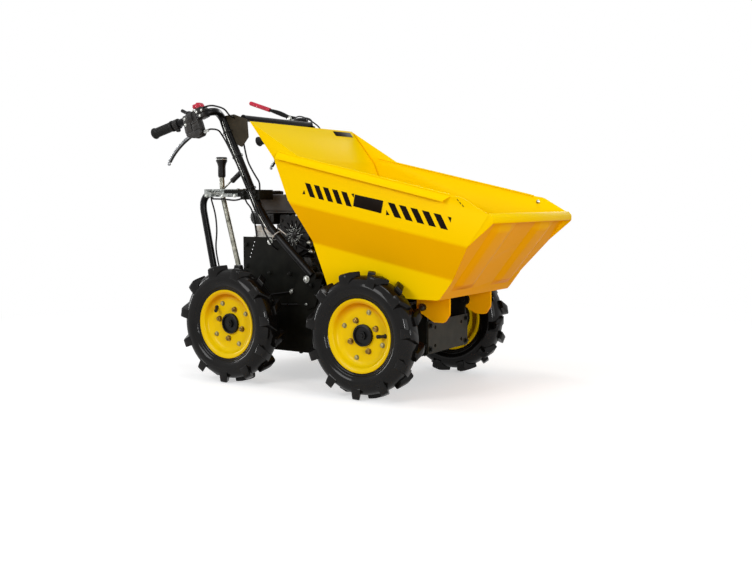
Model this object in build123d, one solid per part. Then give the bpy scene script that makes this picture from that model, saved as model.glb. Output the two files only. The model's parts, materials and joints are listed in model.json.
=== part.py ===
"""Walk-behind four-wheel site dumper: a tipping skip on a petrol-engined chassis.

Units are millimetres. While it is modelled, X runs forward from the rear axle,
Y to the left and Z up from the ground; each node is moved on saving so that the
origin lies on the ground under the middle of the whole machine.
"""
from build123d import *
from math import cos, pi, radians, sin, tan
import os

os.makedirs("parts", exist_ok=True)

# ---------------------------------------------------------------- clearances
RUNNING = 0.05          # radial, shaft in its bore
SEAT = 0.15             # between faces that are bolted or clipped together
SKIP_GAP = 7.5          # between the skip and a tyre beside it
CABLE_GAP = 1.2         # between a cable's end and what it enters

# -------------------------------------------------------------------- wheels
WHEELBASE = 552.0
TRACK = 597.0           # between the tyres' middle planes
TYRE_R = 203.0          # over the lugs
TYRE_W = 94.0           # over the lugs
CASING_R = 189.0        # between the lugs
LUGS_A_SIDE = 11
LUG_CROWN_W, LUG_SHOULDER_W = 20.0, 30.0
LUG_SLANT = 24.0        # how far a lug runs round the tyre from crown to shoulder
RIM_R = 118.0           # flange
RIM_W = 60.0
RIM_WELL_R = 92.0
RIM_SHEET = 3.0
HUB_CAP_R = 35.0        # stands through the rim's middle hole
HUB_FLANGE_R = 66.0
AXLE_SHAFT_R = 15.0
AXLE_TUBE_R = 30.0
AXLE_HOLE_GAP = 0.5
AXLE_TUBE_END_Y = TRACK / 2 - 36.5

# ------------------------------------------------------- heights of the frame
AXLE_Z = TYRE_R
CHASSIS_Z = AXLE_Z - 103.0
DECK_Z = AXLE_Z + 165.0
BOX_TOP_Z = AXLE_Z + 295.0
FLOOR_Z = AXLE_Z + 119.0
CHASSIS_TOP_Z = FLOOR_Z - 16.0

# ---------------------------------------------------------------------- skip
SHEET = 3.0
PIVOT_X, PIVOT_Z = WHEELBASE + 129.0, FLOOR_Z - 36.0
SKIP_HALF_W = 302.0                                 # outside, above the upper fold
FLOOR_HALF_W = TRACK / 2 - TYRE_W / 2 - SKIP_GAP    # outside, below the lower fold
FLOOR_REAR_X = 383.0
FRONT_FOOT_X = PIVOT_X + 111.0
BACK_BEND_X, BACK_BEND_Z = 198.0, FLOOR_Z + 444.0
BACK_TOP_X, BACK_TOP_Z = 95.0, FLOOR_Z + 570.0
WING_X, WING_Z = 301.0, FLOOR_Z + 447.0             # where the side's top edge starts
BROW_X, BROW_Z = PIVOT_X + 184.0, FLOOR_Z + 321.0   # where it turns level near the front
NOSE_X, NOSE_Z = PIVOT_X + 219.0, FLOOR_Z + 315.0   # where it drops to the front lip
LIP_X, LIP_Z = PIVOT_X + 310.0, FLOOR_Z + 263.0
UPPER_FOLD_X, UPPER_FOLD_Z = 577.0, FLOOR_Z + 236.0
LOWER_FOLD_Z = FLOOR_Z + 115.0                      # below the same place
FOLD_SLOPE = -0.197
LIP_EDGE = 3.0
LIP_OUT, LIP_DROP = 15.0, 19.0
FRONT_LIP_OUT, FRONT_LIP_DROP = 9.0, 24.0
FRONT_LIP_HALF_W = SKIP_HALF_W - 8.0

# ------------------------------------------------------- hinge under the skip
LUG_T = 8.0
LUG_Y = 141.0           # the lug's inner face
LUG_CORNER = 16.0
LUG_REAR, LUG_FRONT = 24.0, 96.0
LUG_DEPTH = 47.0        # below the pivot
EAR_T = 10.0
EAR_Y = 125.0           # the ear's inner face
EAR_R = 20.0
PIN_R = 8.0
PIN_PLAY = 0.5
PIN_HEAD_R, PIN_HEAD_T = 12.0, 6.0

# ------------------------------------------------------------------- chassis
PLATE_T = 5.0
PLATE_Y = 160.0         # outer face of a side plate
PLATE_INSIDE_Y = PLATE_Y - PLATE_T - SEAT
CHASSIS_REAR_X = -62.0
CHASSIS_FRONT_X = WHEELBASE + 88.0
BOX_SHOULDER_X = 75.0
DECK_FRONT_X = 240.0
DECK_T = 6.0
CROSS_X0, CROSS_X1 = WHEELBASE + 8.0, WHEELBASE + 68.0
FRONT_PLATE_X = PIVOT_X + 7.0
FRONT_PLATE_Z0, FRONT_PLATE_Z1 = AXLE_Z - 71.0, AXLE_Z + 35.0
HITCH_SPACING_Y, HITCH_SPACING_Z = 180.0, 60.0
HITCH_HOLE_R = 6.5
GEARBOX_FRONT_X, GEARBOX_HALF_W = 105.0, 65.0
GEARBOX_Z0, GEARBOX_Z1 = AXLE_Z - 85.0, AXLE_Z + 127.0
FRONT_DIFF_HALF_L, FRONT_DIFF_HALF_W = 58.0, 50.0
FRONT_DIFF_Z0, FRONT_DIFF_Z1 = AXLE_Z - 75.0, AXLE_Z + 33.0
SHAFT_TUBE_R, SHAFT_TUBE_Z = 26.0, AXLE_Z - 20.0
VENT_X, VENT_Z, VENT_R = -12.0, BOX_TOP_Z - 18.0, 3.5
VENT_COUNT, VENT_STEP_X, VENT_STEP_Z = 5, -5.0, -13.5

# -------------------------------------------------------------------- engine
CRANK_X, CRANK_Z = 152.0, DECK_Z + 139.0
CASE_X0, CASE_X1 = 22.0, 190.0
CASE_HALF_W = 72.0
CASE_TOP_Z = DECK_Z + 172.0
FAN_R, FAN_DEPTH = 74.0, 48.0
COWL_R, COWL_DEPTH = 62.0, 18.0
COWL_SLOTS, SLOT_W, SLOT_DEPTH = 16, 5.0, 6.0
SLOT_R0, SLOT_R1 = 20.0, 52.0
TANK_X0, TANK_X1 = -52.0, 214.0
TANK_HALF_W = 112.0
TANK_Z0, TANK_Z1 = CASE_TOP_Z + 44.0, CASE_TOP_Z + 109.0
SEAM_OUT, SEAM_T = 4.0, 4.0
CAP_X, CAP_Y, CAP_R, CAP_H = 3.5, -62.0, 32.0, 13.0
FIN_COUNT, FIN_T, FIN_PITCH = 6, 3.5, 9.5
HEAD_L, HEAD_HALF_W, FIN_OUT = 62.0, 40.0, 11.0

# ----------------------------------------------------------------- handlebar
BAR_R = 13.5
BAR_WALL = 2.5
UPRIGHT_Y = 200.0
GRIP_Y = 290.0
BAR_FOOT_X, BAR_FOOT_Z = 276.0, DECK_Z + 7.0
BAR_KNEE_X, BAR_KNEE_Z = 90.0, DECK_Z + 172.0
BAR_HIP_X, BAR_HIP_Z = 47.0, DECK_Z + 233.0
BAR_TOP_X, BAR_TOP_Z = -124.0, DECK_Z + 567.0
GRIP_CORNER_X, GRIP_CORNER_Z = -88.0, DECK_Z + 571.0
GRIP_END_X, GRIP_END_Z = -356.0, DECK_Z + 501.0
BAR_BENDS = [200.0, 200.0, 36.0, 33.0]
GRIP_R, GRIP_L, GRIP_OVERHANG = 17.0, 106.0, 8.0
CROSSBAR_X, CROSSBAR_Z, CROSSBAR_R = -25.0, DECK_Z + 547.0, 11.0
GUSSET_T = 4.0
FOOT_T = 6.0
LEVER_R = 5.0
LEVER_Y = -GRIP_Y + 2     # middle of the right brake lever
CABLE_R = 3.0

# ---------------------------------------------------------------- gear lever
GEAR_Y = -130.0
ROD_R = 9.5
KNOB_L, KNOB_R, KNOB_FOOT_R = 72.0, 18.5, 12.0
GATE_X0, GATE_X1 = -238.0, -77.0
GATE_Y0, GATE_Y1 = -170.0, -100.0
GATE_Z, GATE_T, GATE_FLANGE = DECK_Z + 300.0, 3.0, 28.0
HOOP_R, HOOP_Y = 12.5, -154.0
HOOP_Z = GATE_Z - GATE_T - SEAT - HOOP_R

NODES = {}


# ------------------------------------------------------------- small helpers
def keep(name, *solids):
    """Hold a node's solids until the origin is known."""
    NODES[name] = solids[0] if len(solids) == 1 else Compound(children=list(solids))


def mirrored(solid):
    """The same solid on the other side of the machine."""
    return mirror(solid, Plane.XZ)


def block(x0, x1, y0, y1, z0, z1):
    """A box between two corners."""
    return Pos((x0 + x1) / 2, (y0 + y1) / 2, (z0 + z1) / 2) * Box(x1 - x0, y1 - y0, z1 - z0)


def side_plate(points, y0, y1, corner=0.0):
    """An XZ outline with round corners, as thick as from y0 to y1."""
    outline = make_face(Polyline(*points, close=True))
    if corner:
        outline = fillet(outline.vertices(), corner)
    plane = Plane(origin=(0, y1, 0), x_dir=(1, 0, 0), z_dir=(0, -1, 0))
    return extrude(plane.location * outline, amount=y1 - y0, dir=(0, -1, 0))


def rod(start, end, radius):
    """A round bar between two points."""
    start, end = Vector(*start), Vector(*end)
    plane = Plane(origin=start, z_dir=end - start)
    return extrude(plane * Circle(radius), amount=(end - start).length, dir=end - start)


def disc_y(x, y0, y1, z, radius):
    """A round bar along Y."""
    return rod((x, y0, z), (x, y1, z), radius)


def bent_bar(points, radii, radius, wall=0.0):
    """A round bar or tube along straight runs joined by arcs."""
    path = FilletPolyline(*points, radius=radii)
    start = Plane(origin=path @ 0, z_dir=path % 0)
    section = Circle(radius) - Circle(radius - wall) if wall else Circle(radius)
    return sweep(start * section, path=path)


def cable(points):
    """A sheathed cable whose arcs are nearly as large as its runs allow."""
    spots = [Vector(*point) for point in points]
    runs = [b - a for a, b in zip(spots, spots[1:])]
    radii = []
    for before, after in zip(runs, runs[1:]):
        turn = radians(before.get_angle(after))
        radii.append(0.45 * min(before.length, after.length) / tan(turn / 2))
    return bent_bar(points, radii, CABLE_R)


def spun(profile):
    """Points of radius and width spun about the Y axis."""
    return revolve(make_face(Polyline(*profile, close=True)), Axis.Y)


def closed(faces):
    """A solid from the flat faces that close it, whichever way they were drawn."""
    solid = Solid(Shell(faces))
    return solid if solid.volume > 0 else Solid(Shell([-face for face in faces]))


def polyhedron(outer, inner):
    """A solid between two matching polygons."""
    count = len(outer)
    rings = [[outer[i], outer[(i + 1) % count], inner[(i + 1) % count], inner[i]] for i in range(count)]
    return closed([Face(Wire.make_polygon(ring, close=True)) for ring in [outer, inner] + rings])


# ---------------------------------------------------------------- the wheels
def rim_solid():
    """A split steel rim: two dished halves that meet at a flat middle disc."""
    half = RIM_W / 2
    t = RIM_SHEET
    outside = [(RIM_R, half), (RIM_R, half - t), (RIM_R - 13, half - t - 2), (RIM_R - 16, half - 17),
               (RIM_WELL_R, half - 24)]
    inside = [(RIM_WELL_R - t, t), (RIM_WELL_R - t, half - 23), (RIM_R - 19, half - 16),
              (RIM_R - 16, half - 4), (RIM_R - 4, half + 0.5)]
    bore = HUB_CAP_R + SEAT
    lower = [(r, -y) for r, y in reversed(outside)]
    back = [(r, -y) for r, y in reversed(inside)]
    return spun(outside + lower + back + [(bore, -t), (bore, t)] + inside)


def tyre_casing():
    """The tyre without its lugs in flat facets, one under each lug, open inside."""
    half = TYRE_W / 2
    bead = RIM_W / 2 - RIM_SHEET - SEAT
    seat_r = RIM_R - 16 + SEAT
    outside = [(seat_r + 2, bead - 9.8), (RIM_R + 1, bead), (CASING_R - 30, half - 3), (CASING_R, half - 20)]
    inside = [(CASING_R - 13, half - 24), (seat_r + 2, bead - 14)]
    profile = outside + [(r, -y) for r, y in reversed(outside)] + [(r, -y) for r, y in reversed(inside)] + inside
    facets = 2 * LUGS_A_SIDE
    reach = 1 / cos(pi / facets)
    rings = []
    for i in range(facets):
        angle = 2 * pi * (i + 0.5) / facets
        rings.append([Vector(r * reach * sin(angle), y, r * reach * cos(angle)) for r, y in profile])
    faces = []
    for here, there in zip(rings, rings[1:] + rings[:1]):
        for i in range(len(profile)):
            ring = [here[i - 1], here[i], there[i], there[i - 1]]
            faces.append(Face(Wire.make_polygon(ring, close=True)))
    return closed(faces)


def tyre_lug(sign):
    """A lug at the tyre's top: from the crown, slanting to the shoulder and down the sidewall."""
    half = TYRE_W / 2
    section = [(1, CASING_R - 6), (1, TYRE_R), (half, TYRE_R - 2.5), (half, CASING_R - 27), (half - 14, CASING_R - 22)]
    edges = []
    for edge in (-0.5, 0.5):
        points = []
        for y, z in section:
            share = y / half
            width = LUG_CROWN_W + (LUG_SHOULDER_W - LUG_CROWN_W) * share
            points.append(Vector(edge * width + LUG_SLANT * (share - 0.5), sign * y, z))
        edges.append(points)
    return polyhedron(*edges)


def tyre_solid():
    """Casing and lugs; the lugs of the two sides stand half a pitch apart, one at the very bottom."""
    pitch = 360 / LUGS_A_SIDE
    lugs = [Rot(0, 180 + pitch * (i + 0.25 - 0.25 * sign), 0) * tyre_lug(sign)
            for sign in (1, -1) for i in range(LUGS_A_SIDE)]
    return tyre_casing().fuse(*lugs)


def hub_solid():
    """Hub cap, bolting flange and the drive shaft that runs into the axle tube."""
    t = RIM_SHEET
    inner_y = AXLE_TUBE_END_Y - TRACK / 2           # the axle tube's end, seen from the wheel
    cap = [(0, 8), (HUB_CAP_R - 6, 8), (HUB_CAP_R - 6, 14), (HUB_CAP_R, 12), (HUB_CAP_R, -t - SEAT)]
    flange = [(HUB_FLANGE_R, -t - SEAT), (HUB_FLANGE_R, -t - 8), (HUB_CAP_R, -t - 12)]
    barrel = [(HUB_CAP_R, inner_y + 4), (AXLE_SHAFT_R, inner_y + 4)]
    shaft = [(AXLE_SHAFT_R, inner_y - 60), (0, inner_y - 60)]
    return spun(cap + flange + barrel + shaft)


def build_wheels():
    """Four like wheels, each of a tyre, a rim and a hub."""
    places = {"rear_right": (0, -1), "rear_left": (0, 1), "front_right": (WHEELBASE, -1),
              "front_left": (WHEELBASE, 1)}
    pieces = {"tyre": tyre_solid(), "rim": rim_solid(), "hub": hub_solid()}
    for corner, (x, side) in places.items():
        for piece, solid in pieces.items():
            handed = solid if side > 0 else mirrored(solid)
            keep(f"{piece}_{corner}", Pos(x, side * TRACK / 2, AXLE_Z) * handed)


# ------------------------------------------------------------------ the skip
class Wall:
    """A flat sheet of the skip: its outside plane, and the inside one a sheet's thickness in."""

    def __init__(self, point, outward, sheet=SHEET):
        self.normal = Vector(*outward).normalized()
        self.depth = {"out": self.normal.dot(Vector(*point))}
        self.depth["in"] = self.depth["out"] - sheet


def cut(point, outward):
    """A plane that trims a sheet squarely and has no thickness."""
    return Wall(point, outward, 0.0)


def along_y(a, b, up=1):
    """The plane along Y through two XZ points, given rear one first, facing up or down."""
    (ax, az), (bx, bz) = a, b
    return (ax, 0, az), ((az - bz) * up, 0, (bx - ax) * up)


def meet(a, b, c, face):
    """The point where three planes meet, on their outsides or their insides."""
    bc, ca, ab = b.normal.cross(c.normal), c.normal.cross(a.normal), a.normal.cross(b.normal)
    total = bc * a.depth[face] + ca * b.depth[face] + ab * c.depth[face]
    return total / a.normal.dot(bc)


def panel(wall, neighbours):
    """One flat sheet, mitred to each neighbour in turn round its edge."""
    pairs = list(zip(neighbours, neighbours[1:] + neighbours[:1]))
    outer, inner = ([meet(wall, a, b, face) for a, b in pairs] for face in ("out", "in"))
    return polyhedron(outer, inner)


def skip_walls():
    """Every plane of the skip by name; r and l are the right and left sides."""
    taper_run = SKIP_HALF_W - FLOOR_HALF_W
    taper_fall = UPPER_FOLD_Z - LOWER_FOLD_Z
    walls = {
        "floor": Wall((0, 0, FLOOR_Z), (0, 0, -1)),
        "rear": Wall(*along_y((BACK_BEND_X, BACK_BEND_Z), (FLOOR_REAR_X, FLOOR_Z), -1)),
        "back": Wall(*along_y((BACK_TOP_X, BACK_TOP_Z), (BACK_BEND_X, BACK_BEND_Z), -1)),
        "front": Wall(*along_y((FRONT_FOOT_X, FLOOR_Z), (LIP_X, LIP_Z), -1)),
        "top": cut((0, 0, BACK_TOP_Z), (0, 0, 1)),
        "lip": cut((0, 0, LIP_Z), (0, 0, 1)),
        "wing": cut(*along_y((BACK_TOP_X, BACK_TOP_Z), (WING_X, WING_Z))),
        "rail": cut(*along_y((WING_X, WING_Z), (BROW_X, BROW_Z))),
        "brow": cut(*along_y((BROW_X, BROW_Z), (NOSE_X, NOSE_Z))),
        "nose": cut(*along_y((NOSE_X, NOSE_Z), (LIP_X, LIP_Z))),
    }
    for side, sign in (("r", -1), ("l", 1)):
        walls["side_" + side] = Wall((0, sign * SKIP_HALF_W, 0), (0, sign, 0))
        fold = (UPPER_FOLD_X, sign * SKIP_HALF_W, UPPER_FOLD_Z)
        walls["taper_" + side] = Wall(fold, (FOLD_SLOPE * taper_run, sign * taper_fall, -taper_run))
        walls["band_" + side] = Wall((0, sign * FLOOR_HALF_W, 0), (0, sign, 0))
    return walls


def side_lip(sign):
    """The strip folded outwards and down along a side's top edge."""
    fall = (BROW_Z - WING_Z) / (BROW_X - WING_X)
    brow = (BROW_X, sign * SKIP_HALF_W, BROW_Z)
    outward = Vector(-fall * LIP_OUT, sign * LIP_DROP, LIP_OUT)
    corner_run = Vector(-LIP_DROP, sign * LIP_OUT, -LIP_DROP * (1 + fall))
    strip = Wall(brow, outward, LIP_EDGE)
    edges = [cut((0, sign * SKIP_HALF_W, 0), (0, -sign, 0)), cut(brow, outward.cross(corner_run) * -sign),
             cut((0, sign * (SKIP_HALF_W + LIP_OUT), 0), (0, sign, 0)),
             cut((BACK_BEND_X + LIP_OUT, 0, 0), (-1, 0, 0))]
    return panel(strip, edges)


def front_lip():
    """The strip folded forward and down along the front wall's top edge."""
    strip = Wall(*along_y((LIP_X, LIP_Z), (LIP_X + FRONT_LIP_OUT, LIP_Z - FRONT_LIP_DROP)), LIP_EDGE)
    wall = cut(*along_y((FRONT_FOOT_X, FLOOR_Z), (LIP_X, LIP_Z)))
    edges = [wall, cut((0, FRONT_LIP_HALF_W, 0), (0, 1, 0)), cut((0, 0, LIP_Z - FRONT_LIP_DROP), (0, 0, -1)),
             cut((0, -FRONT_LIP_HALF_W, 0), (0, -1, 0))]
    return panel(strip, edges)


def hinge_lug():
    """The right-hand lug that hangs from the skip's floor and turns on its pin."""
    outline = [(PIVOT_X - LUG_REAR, FLOOR_Z), (PIVOT_X - LUG_REAR, PIVOT_Z - 12), (PIVOT_X + 8, PIVOT_Z - 29),
               (PIVOT_X + 40, PIVOT_Z - LUG_DEPTH), (PIVOT_X + 78, PIVOT_Z - LUG_DEPTH),
               (PIVOT_X + LUG_FRONT, PIVOT_Z - 20), (PIVOT_X + LUG_FRONT, FLOOR_Z)]
    face = make_face(Polyline(*outline, close=True))
    face = fillet([v for v in face.vertices() if v.Y < FLOOR_Z - 1], LUG_CORNER)
    plane = Plane(origin=(0, -LUG_Y, 0), x_dir=(1, 0, 0), z_dir=(0, -1, 0))
    lug = extrude(plane.location * face, amount=LUG_T, dir=(0, -1, 0))
    return lug - disc_y(PIVOT_X, -LUG_Y + 1, -LUG_Y - LUG_T - 1, PIVOT_Z, PIN_R + RUNNING)


def build_skip():
    """The skip as five bent sheets and its two hinge lugs."""
    walls = skip_walls()

    def sheet(name, *neighbours):
        return panel(walls[name], [walls[n] for n in neighbours])

    for side, label, sign in (("r", "right", -1), ("l", "left", 1)):
        upper = sheet("side_" + side, "wing", "rail", "brow", "nose", "front", "taper_" + side, "rear", "back")
        taper = sheet("taper_" + side, "side_" + side, "front", "band_" + side, "rear")
        band = sheet("band_" + side, "taper_" + side, "front", "floor", "rear")
        keep("skip_side_" + label, upper + taper + band + side_lip(sign))
    ends = ("side_r", "taper_r", "band_r", "floor", "band_l", "taper_l", "side_l")
    keep("skip_front", sheet("front", "lip", *ends) + front_lip())
    keep("skip_rear", sheet("rear", "back", *ends) + sheet("back", "top", "side_r", "rear", "side_l"))
    keep("skip_floor", sheet("floor", "rear", "band_r", "front", "band_l"))
    keep("skip_hinge_lugs", hinge_lug(), mirrored(hinge_lug()))


# --------------------------------------------------------------- the chassis
def right_side_plate():
    """The right side plate, with the two axle tubes' holes and a row of vents."""
    outline = [(CHASSIS_REAR_X, CHASSIS_Z + 12), (CHASSIS_REAR_X, BOX_TOP_Z), (BOX_SHOULDER_X, BOX_TOP_Z),
               (DECK_FRONT_X, DECK_Z + 4), (DECK_FRONT_X + 90, CHASSIS_TOP_Z), (CROSS_X1 - 20, CHASSIS_TOP_Z),
               (CHASSIS_FRONT_X, CHASSIS_TOP_Z - 24), (CHASSIS_FRONT_X, CHASSIS_Z + 50),
               (CROSS_X1 - 20, CHASSIS_Z), (CHASSIS_REAR_X + 20, CHASSIS_Z)]
    plate = side_plate(outline, -PLATE_Y, -PLATE_Y + PLATE_T)

    def drilled(x, z, radius):
        return disc_y(x, -PLATE_Y - 1, -PLATE_Y + PLATE_T + 1, z, radius)

    for axle_x in (0, WHEELBASE):
        plate -= drilled(axle_x, AXLE_Z, AXLE_TUBE_R + AXLE_HOLE_GAP)
    for i in range(VENT_COUNT):
        plate -= drilled(VENT_X + i * VENT_STEP_X, VENT_Z + i * VENT_STEP_Z, VENT_R)
    return plate


def hinge_ear():
    """The right-hand ear that carries the skip's hinge pin."""
    foot_z = FRONT_PLATE_Z0 - 4
    shoulder_z = PIVOT_Z + EAR_R - 6
    outline = [(CROSS_X1 + SEAT, foot_z), (CROSS_X1 + SEAT, CHASSIS_TOP_Z - 22), (PIVOT_X - 18, shoulder_z),
               (PIVOT_X + 5, shoulder_z), (PIVOT_X + 5, PIVOT_Z - EAR_R), (FRONT_PLATE_X - SEAT, FRONT_PLATE_Z1),
               (FRONT_PLATE_X - SEAT, foot_z)]
    ear = side_plate(outline, -EAR_Y - EAR_T, -EAR_Y)
    return ear + disc_y(PIVOT_X, -EAR_Y - EAR_T, -EAR_Y, PIVOT_Z, EAR_R)


def hinge_pin():
    """The right-hand pin, welded in its ear, with a head outside the skip's lug."""
    head_y = LUG_Y + LUG_T + PIN_PLAY
    pin = disc_y(PIVOT_X, -head_y, -EAR_Y + 8, PIVOT_Z, PIN_R)
    return pin + disc_y(PIVOT_X, -head_y - PIN_HEAD_T, -head_y, PIVOT_Z, PIN_HEAD_R)


def axle_tube(axle_x, inner_y, sign):
    """One side's axle tube from its gearbox to the hub, bored for the drive shaft."""
    def length(start, end, radius):
        return disc_y(axle_x, sign * start, sign * end, AXLE_Z, radius)

    tube = length(inner_y, AXLE_TUBE_END_Y, AXLE_TUBE_R)
    flange = length(AXLE_TUBE_END_Y - 14, AXLE_TUBE_END_Y, AXLE_TUBE_R + 14)
    return tube + flange - length(AXLE_TUBE_END_Y - 70, AXLE_TUBE_END_Y + 1, AXLE_SHAFT_R + RUNNING)


def front_plate():
    """The plate below the skip's front with the four holes of the hitch."""
    half = EAR_Y + EAR_T
    plate = block(FRONT_PLATE_X, FRONT_PLATE_X + PLATE_T, -half, half, FRONT_PLATE_Z0, FRONT_PLATE_Z1)
    middle_z = (FRONT_PLATE_Z0 + FRONT_PLATE_Z1) / 2
    for y in (-HITCH_SPACING_Y / 2, HITCH_SPACING_Y / 2):
        for z in (middle_z - HITCH_SPACING_Z / 2, middle_z + HITCH_SPACING_Z / 2):
            plate -= rod((FRONT_PLATE_X - 1, y, z), (FRONT_PLATE_X + PLATE_T + 1, y, z), HITCH_HOLE_R)
    return plate


def build_chassis():
    """Plates, gearboxes and axle tubes."""
    keep("side_plate_right", right_side_plate())
    keep("side_plate_left", mirrored(right_side_plate()))
    keep("belly_pan", block(CHASSIS_REAR_X + 20, CROSS_X1 - 22, -PLATE_INSIDE_Y, PLATE_INSIDE_Y,
                            CHASSIS_Z, CHASSIS_Z + PLATE_T))
    keep("engine_deck", block(CHASSIS_REAR_X, DECK_FRONT_X - 4, -PLATE_INSIDE_Y, PLATE_INSIDE_Y,
                              DECK_Z - DECK_T, DECK_Z))
    keep("rear_plate", block(CHASSIS_REAR_X, CHASSIS_REAR_X + PLATE_T, -PLATE_INSIDE_Y, PLATE_INSIDE_Y,
                             CHASSIS_Z + PLATE_T + 8, DECK_Z - DECK_T - SEAT))
    keep("crossmember", block(CROSS_X0, CROSS_X1, -PLATE_INSIDE_Y, PLATE_INSIDE_Y,
                              FRONT_DIFF_Z1 + SEAT, CHASSIS_TOP_Z - 22))
    ear = hinge_ear() + hinge_pin()
    keep("hinge_ears", ear, mirrored(ear))
    keep("front_plate", front_plate())
    gearbox = block(CHASSIS_REAR_X + PLATE_T + SEAT, GEARBOX_FRONT_X, -GEARBOX_HALF_W, GEARBOX_HALF_W,
                    GEARBOX_Z0, GEARBOX_Z1)
    keep("gearbox", fillet(gearbox.edges().filter_by(Axis.Y), 18))
    diff = block(WHEELBASE - FRONT_DIFF_HALF_L, WHEELBASE + FRONT_DIFF_HALF_L, -FRONT_DIFF_HALF_W,
                 FRONT_DIFF_HALF_W, FRONT_DIFF_Z0, FRONT_DIFF_Z1)
    shaft_tube = rod((GEARBOX_FRONT_X + SEAT, 0, SHAFT_TUBE_Z), (WHEELBASE, 0, SHAFT_TUBE_Z), SHAFT_TUBE_R)
    keep("front_differential", fillet(diff.edges().filter_by(Axis.Y), 16) + shaft_tube)
    for name, axle_x, half_w in (("rear_axle", 0, GEARBOX_HALF_W), ("front_axle", WHEELBASE, FRONT_DIFF_HALF_W)):
        keep(name, *(axle_tube(axle_x, half_w + SEAT, sign) for sign in (1, -1)))


# ---------------------------------------------------------------- the engine
def finned_cylinder():
    """The cylinder and head ahead of the crankcase, with its cooling fins."""
    cylinder = block(0, HEAD_L, -HEAD_HALF_W, HEAD_HALF_W, 0, HEAD_L)
    for i in range(FIN_COUNT):
        x = 5 + FIN_PITCH * i
        cylinder += block(x, x + FIN_T, -HEAD_HALF_W - FIN_OUT, HEAD_HALF_W + FIN_OUT, -FIN_OUT, HEAD_L + FIN_OUT)
    return Pos(CASE_X1 + SEAT, 0, CASE_TOP_Z - HEAD_L - 30) * cylinder


def fan_housing():
    """The round cover over the flywheel's fan, and the starter's louvred cowl on it."""
    outer_y = -CASE_HALF_W - SEAT - FAN_DEPTH
    cowl_y = outer_y - COWL_DEPTH
    housing = disc_y(CRANK_X, outer_y, -CASE_HALF_W - SEAT, CRANK_Z, FAN_R)
    housing += disc_y(CRANK_X, cowl_y, outer_y, CRANK_Z, COWL_R)
    slot = block(-SLOT_W / 2, SLOT_W / 2, cowl_y - 1, cowl_y + SLOT_DEPTH, SLOT_R0, SLOT_R1)
    for i in range(COWL_SLOTS):
        housing -= Pos(CRANK_X, 0, CRANK_Z) * Rot(0, 360 / COWL_SLOTS * (i + 0.5), 0) * slot
    return housing


def fuel_tank():
    """The tank with rounded corners and the flange where its two pressings meet."""
    tank = block(TANK_X0, TANK_X1, -TANK_HALF_W, TANK_HALF_W, TANK_Z0, TANK_Z1)
    tank = fillet(fillet(tank.edges().filter_by(Axis.Z), 26).edges().group_by(Axis.Z)[-1], 10)
    half = TANK_HALF_W + SEAM_OUT
    seam = block(TANK_X0 - SEAM_OUT, TANK_X1 + SEAM_OUT, -half, half, TANK_Z0, TANK_Z0 + SEAM_T)
    return tank + fillet(seam.edges().filter_by(Axis.Z), 28)


def build_engine():
    """A single-cylinder petrol engine with its tank on top."""
    case = block(CASE_X0, CASE_X1, -CASE_HALF_W, CASE_HALF_W, DECK_Z, CASE_TOP_Z)
    tank_mount = block(60, CASE_X1 - 16, -60, 60, CASE_TOP_Z - 5, TANK_Z0 - SEAT)
    bracket = side_plate([(-34, BOX_TOP_Z - 30), (-34, CASE_TOP_Z - 6), (-24, CASE_TOP_Z - 8), (52, BOX_TOP_Z + 2),
                          (52, BOX_TOP_Z - 30)], -118, -106)
    bracket += block(24, 52, -107, -CASE_HALF_W + 2, BOX_TOP_Z - 30, BOX_TOP_Z - 6)
    keep("engine_crankcase", fillet(case.edges().filter_by(Axis.Y), 14) + tank_mount + bracket)
    keep("engine_cylinder", finned_cylinder())
    keep("fan_housing", fan_housing())
    keep("fuel_tank", fuel_tank())
    keep("tank_cap", Pos(CAP_X, CAP_Y, TANK_Z1 + SEAT + CAP_H / 2) * Cylinder(CAP_R, CAP_H))
    cleaner = block(-64, 46, -118, -20, CASE_TOP_Z + SEAT, TANK_Z0 - SEAT)
    keep("air_cleaner", fillet(cleaner.edges().filter_by(Axis.Y).group_by(Axis.Z)[0], 14))
    inner_y, outer_y = CASE_HALF_W + 6, CASE_HALF_W + 62
    port_z = CASE_TOP_Z - 28
    muffler = block(60, 200, inner_y, outer_y, CASE_TOP_Z - 52, CASE_TOP_Z + 32)
    keep("muffler", fillet(muffler.edges().filter_by(Axis.X), 20)
         + disc_y(120, CASE_HALF_W + SEAT, inner_y + 2, port_z, 14))
    cover = block(CHASSIS_REAR_X + 2, CRANK_X - 2, 95, PLATE_INSIDE_Y, DECK_Z, BOX_TOP_Z - 18)
    keep("belt_cover", fillet(cover.edges().filter_by(Axis.Y), 24)
         + disc_y(60, CASE_HALF_W + SEAT, 96, DECK_Z + 62, 30))


# ------------------------------------------------------------- the handlebar
def right_bar(radius, wall=0.0):
    """The right upright, which bends out and back at its top into the grip's bar."""
    upright = [(BAR_FOOT_X, BAR_FOOT_Z), (BAR_KNEE_X, BAR_KNEE_Z), (BAR_HIP_X, BAR_HIP_Z), (BAR_TOP_X, BAR_TOP_Z)]
    grip = [(GRIP_CORNER_X, GRIP_CORNER_Z), (GRIP_END_X, GRIP_END_Z)]
    points = [(x, -UPRIGHT_Y, z) for x, z in upright] + [(x, -GRIP_Y, z) for x, z in grip]
    return bent_bar(points, BAR_BENDS, radius, wall)


def on_grip(along, above):
    """The XZ point so far along the grip's bar from its end, and so far above its middle."""
    run_x, run_z = GRIP_CORNER_X - GRIP_END_X, GRIP_CORNER_Z - GRIP_END_Z
    length = (run_x ** 2 + run_z ** 2) ** 0.5
    return (GRIP_END_X + (along * run_x - above * run_z) / length,
            GRIP_END_Z + (along * run_z + above * run_x) / length)


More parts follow.
